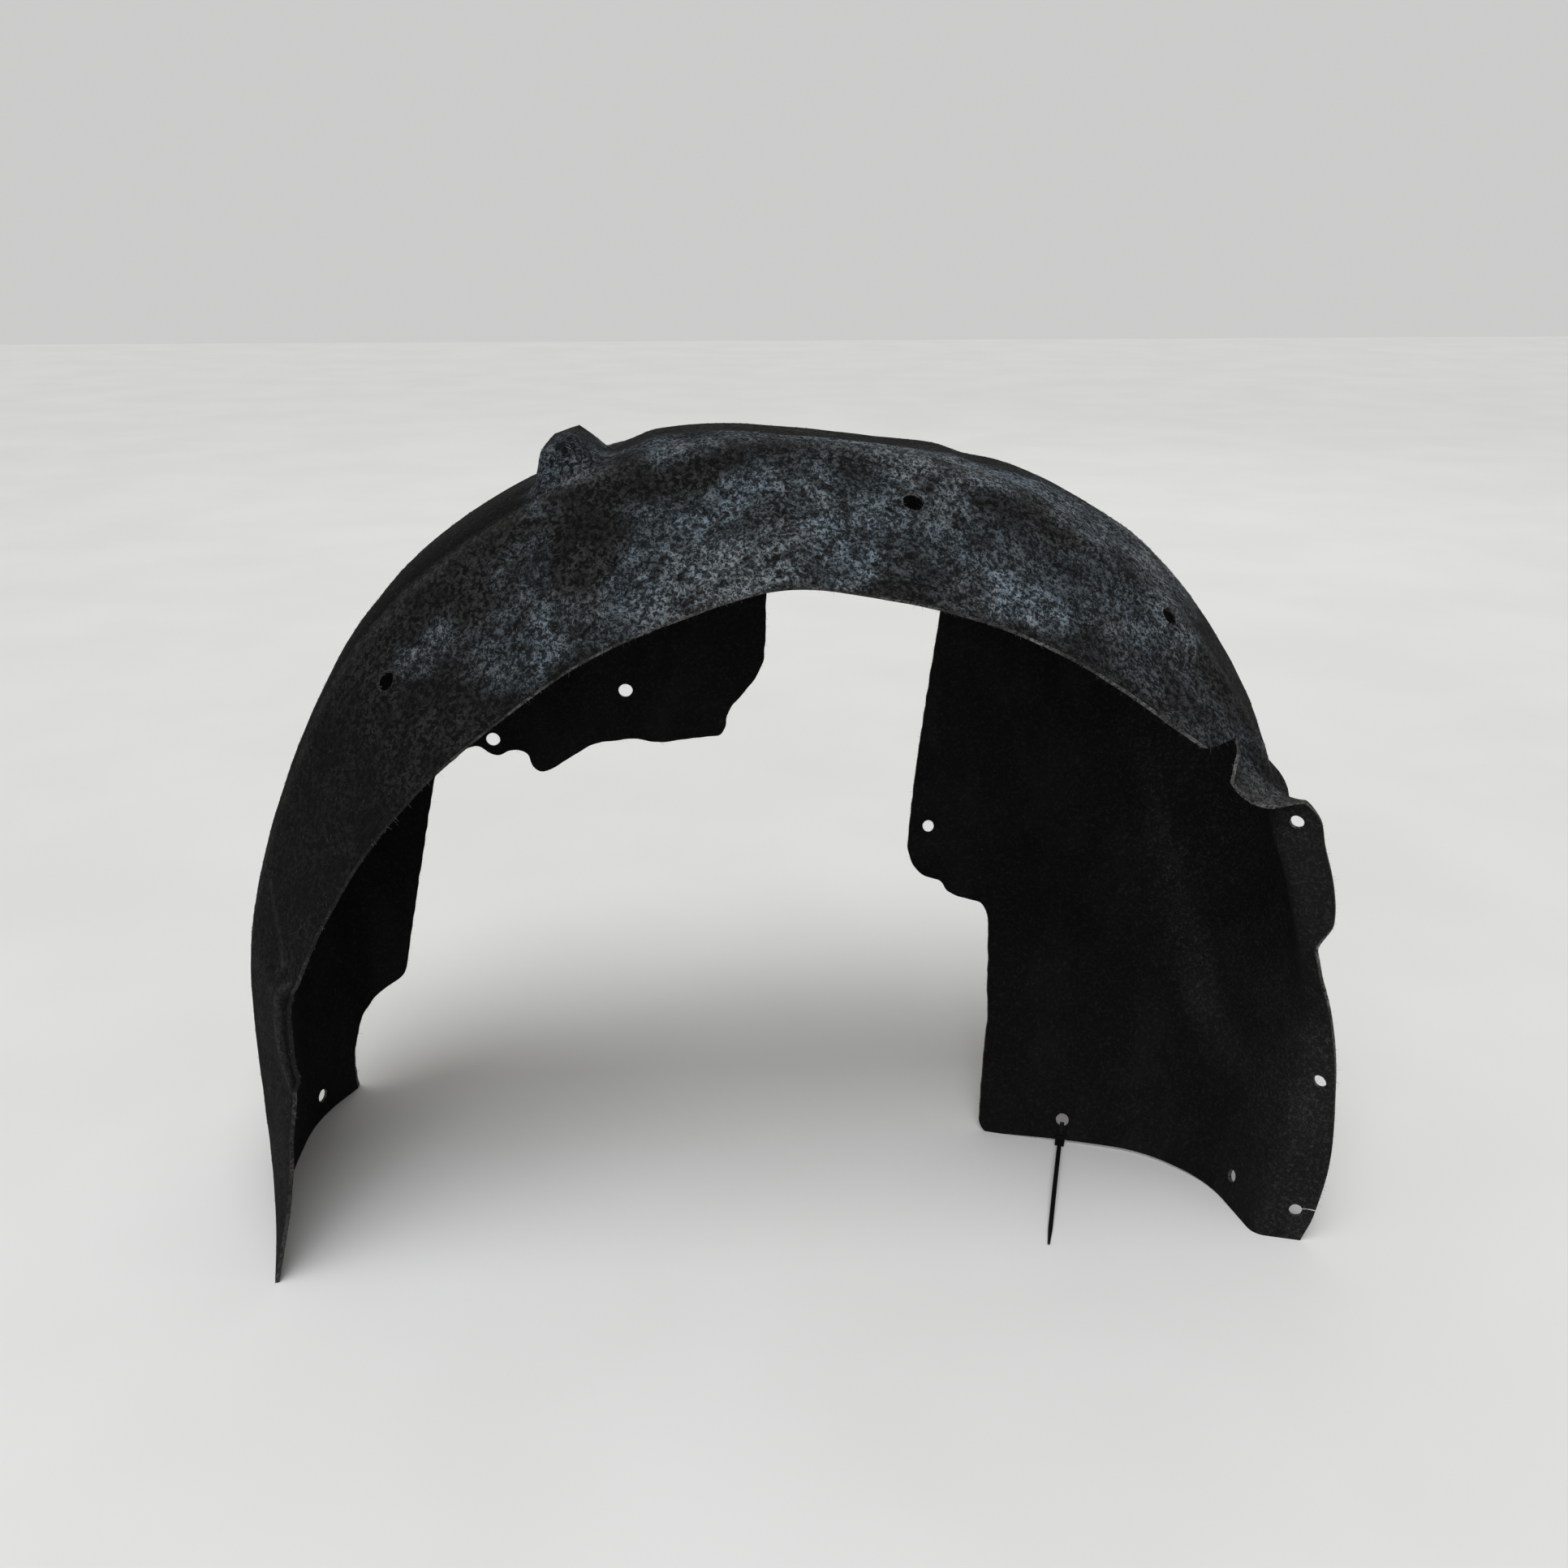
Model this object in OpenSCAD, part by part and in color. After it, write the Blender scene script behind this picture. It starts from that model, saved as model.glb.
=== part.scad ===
// Wheel arch liner: one moulded sheet of pressed felt, with a cable tie left in its lower edge.
// X runs along the car, Y runs from the free front lip to the inboard wall, and Z is up.
// A section of the sheet is a rounded line through five points: lip, ridge, swell, corner and wall end.
// Sections stand at stations: 0 to 180 are degrees round the wheel axis, from the left leg over the
// crown to the right leg. Stations below 0 and above 180 step straight down the two legs.

/* [Sheet] */
// Thickness of the pressed felt
sheet_t = 3; // [2:0.5:5]
// Height of the wheel axis above the feet
axis_h = 140; // [110:1:180]

/* [Arch] */
// Radius of the free front lip
lip_r = 373; // [340:1:410]
// Rise of the ridge over the lip at the crown
ridge_rise = 88; // [60:1:110]
// Rise of the tread over the ridge behind it
tread_rise = 4; // [0:1:12]
// Depth of the ridge behind the lip
ridge_y = 100; // [80:1:120]
// Depth of the swell in the tread
swell_y = 165; // [140:1:190]
// Depth of the tread at the inboard wall
wall_y = 302; // [270:1:340]

/* [Bends] */
// Cut-back of the soft bend along the ridge
ridge_bend = 26; // [12:1:34]
// Cut-back of the soft bend along the swell
swell_bend = 28; // [12:1:34]
// Cut-back of the large bend into the inboard wall
wall_bend = 58; // [30:1:70]

/* [Left leg] */
// How far the foot of the left leg stands out past the lip radius
left_foot_out = 32; // [20:1:45]
// Depth of the rear edge of the left foot
left_foot_y = 235; // [210:1:260]
// Depth of the hollow pressed into the free edge of the leg
leg_dent = 5; // [2:0.5:8]
// Radius of the hole at the rear of the left foot
left_hole_r = 6; // [3:0.5:8]

/* [Right leg] */
// How far the flange of the right leg stands out past the lip radius
flange_out = 16; // [8:1:26]
// Depth of the crease behind the flange
crease_y = 16; // [10:1:24]
// Depth of the bend of the right foot
right_foot_y = 118; // [100:1:140]
// Height of the long arch under the edge of the right foot
foot_relief = 3; // [2.5:0.5:6]

/* [Trim of the inboard wall] */
// Drop of the left wall from the tread at its lowest lobe
left_wall_drop = 200; // [170:1:230]
// Station of the left side of the strut opening
strut_left = 86; // [80:1:92]
// Station of the right side of the strut opening
strut_right = 114; // [108:1:122]
// Depth of tread that stays over the strut opening
strut_head = 86; // [60:1:110]
// Radius of the inner edge of the right wall at its widest place
right_inner_r = 136; // [110:1:170]

/* [Holes] */
// Radius of the holes through the band
band_hole_r = 7.5; // [5:0.5:10]
// Radius of the two clip holes in the left part of the inboard wall
clip_hole_r = 6; // [4:0.5:9]
// Radius of the clip hole in the right part of the wall
right_clip_r = 5; // [3:0.5:8]
// Radius of the hole for the cable tie
tie_hole_r = 5.5; // [4.5:0.5:8]
// Radius of the screw holes in the flange and the right foot
screw_hole_r = 5; // [3:0.5:8]

/* [Tab and pads] */
// Height of the raised tab behind the ridge
tab_h = 24; // [10:1:28]
// Height of the raised panel on top of the crown
panel_h = 5; // [2:1:8]
// Height of the pads round the band holes
pad_h = 4; // [2:1:7]
// Radius of the pads round the band holes
pad_r = 34; // [26:1:44]

/* [Cable tie] */
// Width of the strap
tie_w = 3.6; // [2.5:0.1:4.8]
// Thickness of the strap
tie_t = 1.2; // [0.8:0.1:1.4]
// Side of the locking head
tie_head = 6.4; // [5.6:0.1:8]
// Gap between the tie and the sheet
tie_gap = 0.3; // [0.2:0.1:0.5]
// Length of the loose tail
tie_tail = 144; // [100:1:170]

/* [Hidden] */
$fn = 48;

// Millimetres of leg for each station past 0 and 180
leg_step = 7;
foot = axis_h / leg_step;
// Sections per stretch: left leg, arch, shoulder and right leg
leg_cuts = 7;
arch_cuts = 46;
shoulder_cuts = 24;
haunch_cuts = 6;
shoulder_from = 136;
shoulder_to = 166;
stations = [
  for (i = [0:leg_cuts - 1]) -foot + foot * i / leg_cuts,
  for (i = [0:arch_cuts - 1]) shoulder_from * i / arch_cuts,
  for (i = [0:shoulder_cuts - 1]) shoulder_from + (shoulder_to - shoulder_from) * i / shoulder_cuts,
  for (i = [0:haunch_cuts - 1]) shoulder_to + (180 - shoulder_to) * i / haunch_cuts,
  for (i = [0:leg_cuts]) 180 + foot * i / leg_cuts
];

// Each table holds [station, value] pairs, and the values between them follow a smooth curve
foot_r = 180 + foot;
ridge_top = lip_r + ridge_rise;
tread_top = ridge_top + tread_rise;
lip_keys = [
  [-foot, lip_r + left_foot_out], [-8, lip_r + left_foot_out * 0.4], [-2, lip_r + 8],
  [3, lip_r + 2.5], [5.5, lip_r + 6.5], [10, lip_r + 11.5], [13.5, lip_r + 14.5], [16, lip_r + 7],
  [24, lip_r + 1], [40, lip_r - 6], [53, lip_r - 9], [63, lip_r - 5], [75, lip_r],
  [87, lip_r + 8], [97, lip_r + 2], [108, lip_r - 1], [124, lip_r - 4], [130, lip_r - 3],
  [137, lip_r + 2], [141, lip_r - 1], [143, lip_r + 2], [144.7, lip_r + 10],
  [146.5, lip_r + flange_out + 18], [149, lip_r + flange_out + 20], [152, lip_r + flange_out + 15],
  [157, lip_r + flange_out + 10], [161, lip_r + flange_out + 3], [163.5, lip_r + flange_out - 12],
  [166.5, lip_r + flange_out - 12], [171, lip_r + flange_out - 8], [180, lip_r + flange_out - 1],
  [189, lip_r + flange_out + 3], [foot_r - 3, lip_r + flange_out - 5], [foot_r, lip_r + flange_out - 13]
];
ridge_keys = [
  [-foot, ridge_top - 37], [0, ridge_top - 35], [10, ridge_top - 31], [20, ridge_top - 27],
  [29, ridge_top - 22], [37, ridge_top - 14], [45, ridge_top - 6], [62, ridge_top + 2],
  [78, ridge_top + 8], [90, ridge_top + 2], [102, ridge_top - 5], [123, ridge_top - 25],
  [129, ridge_top - 30], [134, ridge_top - 38], [139, ridge_top - 44], [143, ridge_top - 52],
  [148, ridge_top - 76], [150, ridge_top - 82], [162, ridge_top - 89], [180, ridge_top - 91],
  [foot_r, ridge_top - 117]
];
ridge_depth = [
  [-foot, ridge_y - 10], [0, ridge_y - 5], [90, ridge_y], [123, ridge_y - 5], [134, ridge_y - 18],
  [140, ridge_y - 32], [144, ridge_y - 55], [148, crease_y], [180, crease_y + 4], [foot_r, crease_y - 6]
];
swell_keys = [
  [-foot, tread_top - 38], [0, tread_top - 38], [12, tread_top - 30], [20, tread_top - 26],
  [29, tread_top - 20], [37, tread_top - 12], [45, tread_top - 3], [53, tread_top + 2],
  [70, tread_top + 1], [80, tread_top - 4], [90, tread_top - 17], [97, tread_top - 20],
  [104, tread_top - 17], [113, tread_top - 9], [123, tread_top - 9], [131, tread_top - 15],
  [135, tread_top - 20], [140, tread_top - 27], [147, tread_top - 36], [151, tread_top - 44],
  [154, tread_top - 37], [157, tread_top - 54], [162, tread_top - 62], [165, tread_top - 66],
  [180, tread_top - 105], [foot_r, tread_top - 134]
];
swell_depth = [
  [-foot, swell_y - 15], [0, swell_y - 15], [90, swell_y], [123, swell_y], [147, swell_y - 5],
  [155, swell_y - 25], [165, swell_y - 55], [180, swell_y - 80], [foot_r, swell_y - 85]
];
corner_keys = [
  [-foot, tread_top - 41], [0, tread_top - 39], [20, tread_top - 26], [37, tread_top - 11],
  [53, tread_top - 2], [70, tread_top - 4], [90, tread_top - 20], [97, tread_top - 23],
  [104, tread_top - 19], [113, tread_top - 10], [123, tread_top - 10], [147, tread_top - 34],
  [160, tread_top - 50], [180, tread_top - 120], [foot_r, tread_top - 177]
];
corner_depth = [
  [-foot, left_foot_y - 10], [0, left_foot_y + 10], [30, wall_y], [123, wall_y], [147, wall_y - 17],
  [160, wall_y - 62], [180, right_foot_y + 32], [foot_r, right_foot_y + 6]
];
wall_keys = [
  [-foot, tread_top - 80], [0, tread_top - 145], [20, tread_top - 175], [45, tread_top - 240],
  [60, tread_top - 285], [80, tread_top - 285], [110, tread_top - 210], [130, right_inner_r - 10],
  [147, right_inner_r - 36], [160, right_inner_r - 36], [180, right_inner_r - 26],
  [foot_r, right_inner_r - 16]
];
wall_depth = [
  [-foot, left_foot_y + 67], [0, left_foot_y + 52], [30, wall_y], [115, wall_y], [147, wall_y - 37],
  [160, wall_y - 57], [180, right_foot_y + 127], [foot_r, right_foot_y + 66]
];
ridge_bends = [[-foot, ridge_bend], [123, ridge_bend], [133, ridge_bend - 6], [147, 8], [foot_r, 8]];
swell_bends = [[-foot, swell_bend], [foot_r, swell_bend]];
wall_bends = [[-foot, wall_bend - 24], [45, wall_bend], [150, wall_bend], [foot_r, wall_bend - 16]];

// Rows of points across a section: on its four straight stretches, and on each bend between them
straight_rows = [7, 2, 4, 7];
bend_rows = 4;

// Tables read as smooth curves that never swing past their own values
function key_slope(keys, i) = (keys[i + 1][1] - keys[i][1]) / (keys[i + 1][0] - keys[i][0]);
function end_slope(p, q) = p * q <= 0 ? 0 : 2 * p * q / (p + q);
function key_tangent(keys, i) =
  i == 0 ? key_slope(keys, 0)
  : i == len(keys) - 1 ? key_slope(keys, i - 1)
  : end_slope(key_slope(keys, i - 1), key_slope(keys, i));
function key_at(keys, a, i = 0) = i >= len(keys) - 2 || a < keys[i + 1][0] ? i : key_at(keys, a, i + 1);
function keyed(keys, a) =
  let (
    i = key_at(keys, a),
    h = keys[i + 1][0] - keys[i][0],
    t = (a - keys[i][0]) / h,
    ease = t * t * (3 - 2 * t),
    pull = key_tangent(keys, i) * (t - 2 * t * t + t * t * t) - key_tangent(keys, i + 1) * (t * t - t * t * t)
  )
  keys[i][1] * (1 - ease) + keys[i + 1][1] * ease + h * pull;

// A point of the section at station a, given by its distance r from the axis and its depth y
function arch_angle(a) = max(0, min(180, a));
function outward(a) = [-cos(arch_angle(a)), 0, sin(arch_angle(a))];
function axis_point(a) = [0, 0, axis_h + leg_step * (min(a, 0) + min(180 - a, 0))];
function place(a, r, y) = axis_point(a) + outward(a) * r + [0, y, 0];

// The five corner points of a section, each as [r, y]
function corners(a) = [
  [keyed(lip_keys, a), 0],
  [keyed(ridge_keys, a), keyed(ridge_depth, a)],
  [keyed(swell_keys, a), keyed(swell_depth, a)],
  [keyed(corner_keys, a), keyed(corner_depth, a)],
  [keyed(wall_keys, a), keyed(wall_depth, a)]
];
function unit(v) = v / norm(v);

// Cut-back of the bend at corner i, at most 0.45 of each stretch beside it
function bend_at(p, bends, i) =
  i == 0 || i == 4 ? 0 : min(bends[i], 0.45 * norm(p[i] - p[i - 1]), 0.45 * norm(p[i + 1] - p[i]));
function bend_point(p0, p1, p2, t) = p0 * (1 - t) * (1 - t) + p1 * 2 * t * (1 - t) + p2 * t * t;
function section(a) =
  let (
    p = corners(a),
    bends = [0, keyed(ridge_bends, a), keyed(swell_bends, a), keyed(wall_bends, a), 0],
    d = [for (i = [0:4]) bend_at(p, bends, i)],
    into = [for (i = [0:4]) i == 0 ? p[0] : p[i] - unit(p[i] - p[i - 1]) * d[i]],
    leave = [for (i = [0:4]) i == 4 ? p[4] : p[i] + unit(p[i + 1] - p[i]) * d[i]]
  )
  [
    for (i = [1:4]) each [
      for (k = [0:straight_rows[i - 1] - 1])
        leave[i - 1] + (into[i] - leave[i - 1]) * k / straight_rows[i - 1],
      if (i < 4) each [for (k = [0:bend_rows - 1]) bend_point(into[i], p[i], leave[i], k / bend_rows)]
      else p[4]
    ]
  ];

// A point on one of the four stretches of a section, d from its first corner, and the normal there
function spot(a, stretch, d) =
  let (c = corners(a), q = c[stretch] + unit(c[stretch + 1] - c[stretch]) * d)
  place(a, q[0], q[1]);
function spot_normal(a, stretch, d) =
  unit(cross(
    spot(a + 1, stretch, d) - spot(a - 1, stretch, d),
    spot(a, stretch, d + 1) - spot(a, stretch, d - 1)
  ));
band = 0;
shelf = 1;
tread = 2;
wall = 3;

// Holes as [station, stretch, distance from the stretch's first corner]
function hole_spot(hole) = spot(hole[0], hole[1], hole[2]);
function hole_normal(hole) = spot_normal(hole[0], hole[1], hole[2]);
band_holes = [[45.9, band, 86], [98.9, band, 82], [127, band, 92]];
flange_holes = [[148.6, band, 15], [180.7, band, 12]];
torn_hole = [foot_r - 3.5, band, 14];
left_clips = [[58, wall, 198], [35.7, wall, 139]];
right_clip = [140, wall, 282];
left_foot_hole = [2.9 - foot, wall, 8];
right_foot_hole = [foot_r - 3.2, shelf, 42];
tie_hole = [foot_r - 2.5, wall, 75];

// Local forms, each raised along the sheet's own normal
function rise(t) = let (c = max(0, min(1, t))) c * c * (3 - 2 * c);
function plateau(x, from, to, edge) = rise((x - from) / edge) * rise((to - x) / edge);
function bell(q) = q < 1 ? (1 - q * q) * (1 - q * q) : 0;
tab_from = 65;
tab_to = 72.3;
panel_from = 73;
panel_to = 108;
function tab_form(a, y) =
  tab_h * rise((a - tab_from) / 2.8) * rise((tab_to - a) / 2.2) * plateau(y, ridge_y + 4, wall_y - 60, 34);
function panel_form(a, y) =
  panel_h * plateau(a, panel_from, panel_to, 4) * plateau(y, ridge_y + 22, wall_y - 6, 22);
// The hollow is a half oval on the free edge, with steep sides
dent_at = 9.3;
dent_half = 6.2;
dent_reach = 34;
dent_side = 0.4;
function dent_form(a, y) =
  let (u = (a - dent_at) / dent_half, v = y / dent_reach)
  leg_dent * rise((1 - u * u - v * v) / dent_side);
pad_centres = [for (h = band_holes) hole_spot(h)];
function pad_form(p) = max([for (c = pad_centres) pad_h * bell(norm(p - c) / pad_r)]);

rows = len(section(0));
columns = len(stations);
function clamp(i, n) = max(0, min(n - 1, i));
function grid_normal(g, i, j) =
  unit(cross(
    g[clamp(i + 1, columns)][j] - g[clamp(i - 1, columns)][j],
    g[i][clamp(j + 1, rows)] - g[i][clamp(j - 1, rows)]
  ));
function level(v) = unit([v[0], v[1], 0]);
function sheet_normal(g, i, j) =
  i == 0 || i == columns - 1 ? level(grid_normal(g, i, j)) : grid_normal(g, i, j);

plain = [for (a = stations) [for (q = section(a)) place(a, q[0], q[1])]];
outer = [
  for (i = [0:columns - 1]) [
    for (j = [0:rows - 1])
      let (a = stations[i], p = plain[i][j])
      p + sheet_normal(plain, i, j)
        * (tab_form(a, p[1]) + panel_form(a, p[1]) + pad_form(p) - dent_form(a, p[1]))
  ]
];
inner = [
  for (i = [0:columns - 1]) [
    for (j = [0:rows - 1]) outer[i][j] - sheet_normal(outer, i, j) * sheet_t
  ]
];

// The blank is the grid of the outer face and the grid of the inner face, closed along the four edges
function quad(a, b, c, d) = [[a, b, c], [a, c, d]];
module blank() {
  skin = columns * rows;
  last = columns - 1;
  function id(i, j) = i * rows + j;
  faces = [
    for (i = [0:columns - 2], j = [0:rows - 2]) each concat(
      quad(id(i, j), id(i, j + 1), id(i + 1, j + 1), id(i + 1, j)),
      quad(skin + id(i, j), skin + id(i + 1, j), skin + id(i + 1, j + 1), skin + id(i, j + 1))
    ),
    for (i = [0:columns - 2]) each concat(
      quad(id(i, 0), id(i + 1, 0), skin + id(i + 1, 0), skin + id(i, 0)),
      quad(id(i, rows - 1), skin + id(i, rows - 1), skin + id(i + 1, rows - 1), id(i + 1, rows - 1))
    ),
    for (j = [0:rows - 2]) each concat(
      quad(id(0, j), skin + id(0, j), skin + id(0, j + 1), id(0, j + 1)),
      quad(id(last, j), id(last, j + 1), skin + id(last, j + 1), skin + id(last, j))
    )
  ];
  polyhedron(points = concat([for (c = outer) each c], [for (c = inner) each c]), faces = faces);
}

// A round hole through the sheet along n, square to it where n is its own normal
drill_l = 12 * sheet_t;
module drill_along(hole, n, r) {
  translate(hole_spot(hole))
    rotate([0, acos(n[2]), atan2(n[1], n[0])])
      cylinder(h = drill_l, r = r, center = true);
}
module drill(hole, r) {
  drill_along(hole, hole_normal(hole), r);
}

// The two flange screws share one axis, square to the line between them
screw_line = unit(hole_spot(flange_holes[1]) - hole_spot(flange_holes[0]));
screw_mean = unit(hole_normal(flange_holes[0]) + hole_normal(flange_holes[1]));
screw_axis = unit(screw_mean - screw_line * (screw_mean * screw_line));

// An outline seen along the wheel axis, given by stations and radii, cut through from one depth to another
function seen(a, r) = let (p = place(a, r, 0)) [p[0], p[2]];
module cut_along(points, from, to) {
  translate([0, to, 0]) rotate([90, 0, 0]) linear_extrude(to - from) polygon(points);
}

// Inner edge of the wall as [station, drop below the tread], from the left foot to the right foot
clip_lobe = left_wall_drop - 40;
left_edge = [
  [-foot - 2, 70], [-14, 73], [-8.6, 83], [-5.6, 98], [-4, 122], [26.6, 122], [29.6, 132], [32, 134],
  [33.8, 144], [33.4, clip_lobe - 5], [34, clip_lobe + 3], [36.2, clip_lobe + 9], [37.2, clip_lobe + 21],
  [35.2, left_wall_drop - 7], [35.4, left_wall_drop + 2], [37.6, left_wall_drop + 8],
  [44.4, left_wall_drop + 17], [46.6, left_wall_drop + 20], [53.7, left_wall_drop + 39],
  [57, left_wall_drop + 54], [68.2, left_wall_drop + 69], [72, left_wall_drop + 73],
  [74, left_wall_drop + 66], [75, left_wall_drop + 57], [76.6, left_wall_drop + 50],
  [strut_left - 6, left_wall_drop + 41], [strut_left - 2.6, left_wall_drop + 27],
  [strut_left - 1.2, left_wall_drop + 17], [strut_left - 0.4, left_wall_drop],
  [strut_left + 0.3, left_wall_drop - 41], [strut_left + 2, strut_head]
];
right_drop = tread_top - right_inner_r;
right_edge = [
  [strut_right - 3, strut_head], [strut_right, right_drop - 183], [137.5, right_drop - 5],
  [141, right_drop + 4], [146, right_drop + 9], [150.5, right_drop + 6], [154.5, right_drop - 7],
  [157.5, right_drop - 7], [160.5, right_drop - 14], [164.5, right_drop - 34], [168, right_drop - 36],
  [187, right_drop - 31], [foot_r - 5, right_drop - 23], [foot_r - 0.6, right_drop - 20],
  [foot_r + 0.6, right_drop - 30], [foot_r + 3, right_drop - 30]
];
edge_round = 9;
trim_from = 140;
function rounded(p) = [
  for (i = [0:len(p) - 1])
    if (i == 0 || i == len(p) - 1) p[i]
    else let (
      d = min(edge_round, 0.45 * norm(p[i] - p[i - 1]), 0.45 * norm(p[i + 1] - p[i])),
      into = p[i] + unit(p[i - 1] - p[i]) * d,
      leave = p[i] + unit(p[i + 1] - p[i]) * d
    ) each [for (t = [0, 0.33, 0.67, 1]) bend_point(into, p[i], leave, t)]
];
wall_trim = rounded([for (q = concat(left_edge, right_edge)) seen(q[0], tread_top - q[1])]);

// A sharp notch in the free edge at the right shoulder
notch_back = 60;
notch_front = -20;
shoulder_notch = [[132.8, -10], [139, 23], [140, 16], [139.9, -1], [141, -36]];
module lip_notch() {
  cut_along([for (q = shoulder_notch) seen(q[0], lip_r + q[1])], notch_front, notch_back);
}

// The tear from the lowest flange hole out to the free edge
tear_w = 0.8;
module tear() {
  from = spot(torn_hole[0], band, torn_hole[2]);
  to = spot(torn_hole[0], band, -6);
  run = to - from;
  translate(from) rotate([0, 0, atan2(run[1], run[0])])
    translate([0, -drill_l / 2, -tear_w / 2]) cube([norm(run), drill_l, tear_w]);
}

// The edge of the right foot is a long flat arch, so that it stands on its two ends
relief_half = 84;
relief_r = (relief_half * relief_half + foot_relief * foot_relief) / (2 * foot_relief);
relief_x = keyed(corner_keys, foot_r) - 30;
function relief_z(x) = foot_relief - relief_r + sqrt(relief_r * relief_r - (x - relief_x) * (x - relief_x));
module foot_arch() {
  translate([relief_x, wall_y, foot_relief - relief_r]) rotate([90, 0, 0])
    cylinder(h = wall_y, r = relief_r, $fn = 180);
}

// The origin lies under the middle of the sheet's box, on the floor that the feet stand on
outer_x = [for (c = outer) for (p = c) p[0]];
inner_y = [for (c = inner) for (p = c) p[1]];
middle = [(min(outer_x) + max(outer_x)) / 2, (min(inner_y) + wall_y) / 2, 0];

module arch_liner() {
  color("#26282b") translate(-middle) difference() {
    blank();
    cut_along(wall_trim, trim_from, wall_y + 40);
    lip_notch();
    tear();
    foot_arch();
    for (h = band_holes) drill(h, band_hole_r);
    for (h = flange_holes) drill_along(h, screw_axis, screw_hole_r);
    drill(torn_hole, screw_hole_r);
    for (h = left_clips) drill(h, clip_hole_r);
    drill(right_clip, right_clip_r);
    drill(left_foot_hole, left_hole_r);
    drill(right_foot_hole, screw_hole_r);
    drill(tie_hole, tie_hole_r);
  }
}

// The tie's own frame at its hole: h level and out of the sheet's back face, then up, then along the foot
tie_at = hole_spot(tie_hole);
tie_n = hole_normal(tie_hole);
tie_h = level(tie_n);
tie_side = cross(tie_h, [0, 0, 1]);
module at_tie() {
  multmatrix([
    [tie_h[0], 0, tie_side[0], tie_at[0]],
    [tie_h[1], 0, tie_side[1], tie_at[1]],
    [0, 1, 0, tie_at[2]],
    [0, 0, 0, 1]
  ]) children();
}

// How far the leaning sheet moves along h over a height of one, and a line beside it at that lean
tie_lean = -tie_n[2] / (tie_n * tie_h);
function beside(off, z) = [tie_lean * z + off / (tie_n * tie_h), z];

// The loop runs over the lower rim of the hole and under the edge of the foot
loop_front = -sheet_t - tie_gap;
loop_high = sheet_t * abs(tie_n[2]) + tie_gap
  - sqrt(tie_hole_r * tie_hole_r - tie_w * tie_w / 4) * (tie_n * tie_h);
loop_low = relief_z(tie_at[0]) - tie_at[2] - tie_gap;
module loop() {
  inside = [
    beside(loop_front, loop_low), beside(tie_gap, loop_low),
    beside(tie_gap, loop_high), beside(loop_front, loop_high)
  ];
  translate([0, 0, -tie_w / 2]) linear_extrude(tie_w) difference() {
    offset(r = tie_t, $fn = 16) polygon(inside);
    polygon(inside);
  }
}

// The head sits in front of the foot, and the tail runs out of it, forward and down to the floor
head_depth = 4.6;
head_low = loop_low - tie_t;
head_front = loop_front - tie_t / 2;
module head() {
  translate([0, 0, -tie_head / 2]) linear_extrude(tie_head) polygon([
    beside(head_front, head_low), beside(head_front, head_low + tie_head),
    beside(head_front - head_depth, head_low + tie_head), beside(head_front - head_depth, head_low)
  ]);
}
head_at = beside(head_front - head_depth / 2, head_low + tie_head / 2);
head_mid = tie_at + tie_h * head_at[0] + [0, 0, head_at[1]];
tail_way = unit([-0.3, -1, 0]);
tail_steps = [0, 0.3, 0.6, 0.85, 1];
tail_rise = [0, 4, 3, -1, 1.9 - head_mid[2]];
tail_turn = [0, 12, 30, 45, 55];
tip_w = 2;
tail_slice = 0.4;
module tail_cut(i) {
  w = i == len(tail_steps) - 1 ? tip_w : tie_w;
  translate(head_mid + tail_way * tie_tail * tail_steps[i] + [0, 0, tail_rise[i]])
    rotate([0, 0, atan2(tail_way[1], tail_way[0]) + 90])
      rotate([0, tail_turn[i], 0])
        cube([w, tail_slice, tie_t], center = true);
}

module cable_tie() {
  color("#101010") translate(-middle) union() {
    at_tie() {
      loop();
      head();
    }
    for (i = [0:len(tail_steps) - 2]) hull() {
      tail_cut(i);
      tail_cut(i + 1);
    }
  }
}

arch_liner();
cable_tie();
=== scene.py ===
"""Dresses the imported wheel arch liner: one sheet of pressed felt, and the cable tie left in its lower edge.

Sizes are typed in millimetres, as in the part's source, and reach Blender in metres. Stations run as
there: 0 to 180 are degrees round the wheel axis, from the left leg over the crown to the right leg, and
stations below 0 and above 180 step straight down the two legs.
"""
import logging
import math
import random
from dataclasses import dataclass, field
from enum import Enum
from typing import Iterable, Sequence

import bmesh
import bpy
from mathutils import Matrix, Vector, noise


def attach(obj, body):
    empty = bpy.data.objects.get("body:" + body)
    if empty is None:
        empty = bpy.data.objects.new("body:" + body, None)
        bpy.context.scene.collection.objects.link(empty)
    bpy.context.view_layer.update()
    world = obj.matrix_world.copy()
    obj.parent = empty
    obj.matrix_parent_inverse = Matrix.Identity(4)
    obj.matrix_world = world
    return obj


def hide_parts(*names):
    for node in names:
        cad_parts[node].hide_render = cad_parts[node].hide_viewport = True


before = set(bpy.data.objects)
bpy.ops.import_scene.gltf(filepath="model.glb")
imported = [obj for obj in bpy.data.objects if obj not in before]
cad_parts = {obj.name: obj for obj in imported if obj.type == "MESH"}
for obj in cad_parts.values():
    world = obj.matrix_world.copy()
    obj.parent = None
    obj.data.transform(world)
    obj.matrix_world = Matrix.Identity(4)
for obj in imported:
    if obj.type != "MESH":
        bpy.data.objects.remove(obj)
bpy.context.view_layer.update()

log = logging.getLogger("wheel_arch_liner")

MM = 0.001
WEAR_AND_LIGHT = "wear_and_light"
Pair = tuple[float, float]
Triple = tuple[float, float, float]
Colour = Triple
WearAndLight = tuple[float, float, float, float]


# Shader maths ---------------------------------------------------------------------------------------


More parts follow.
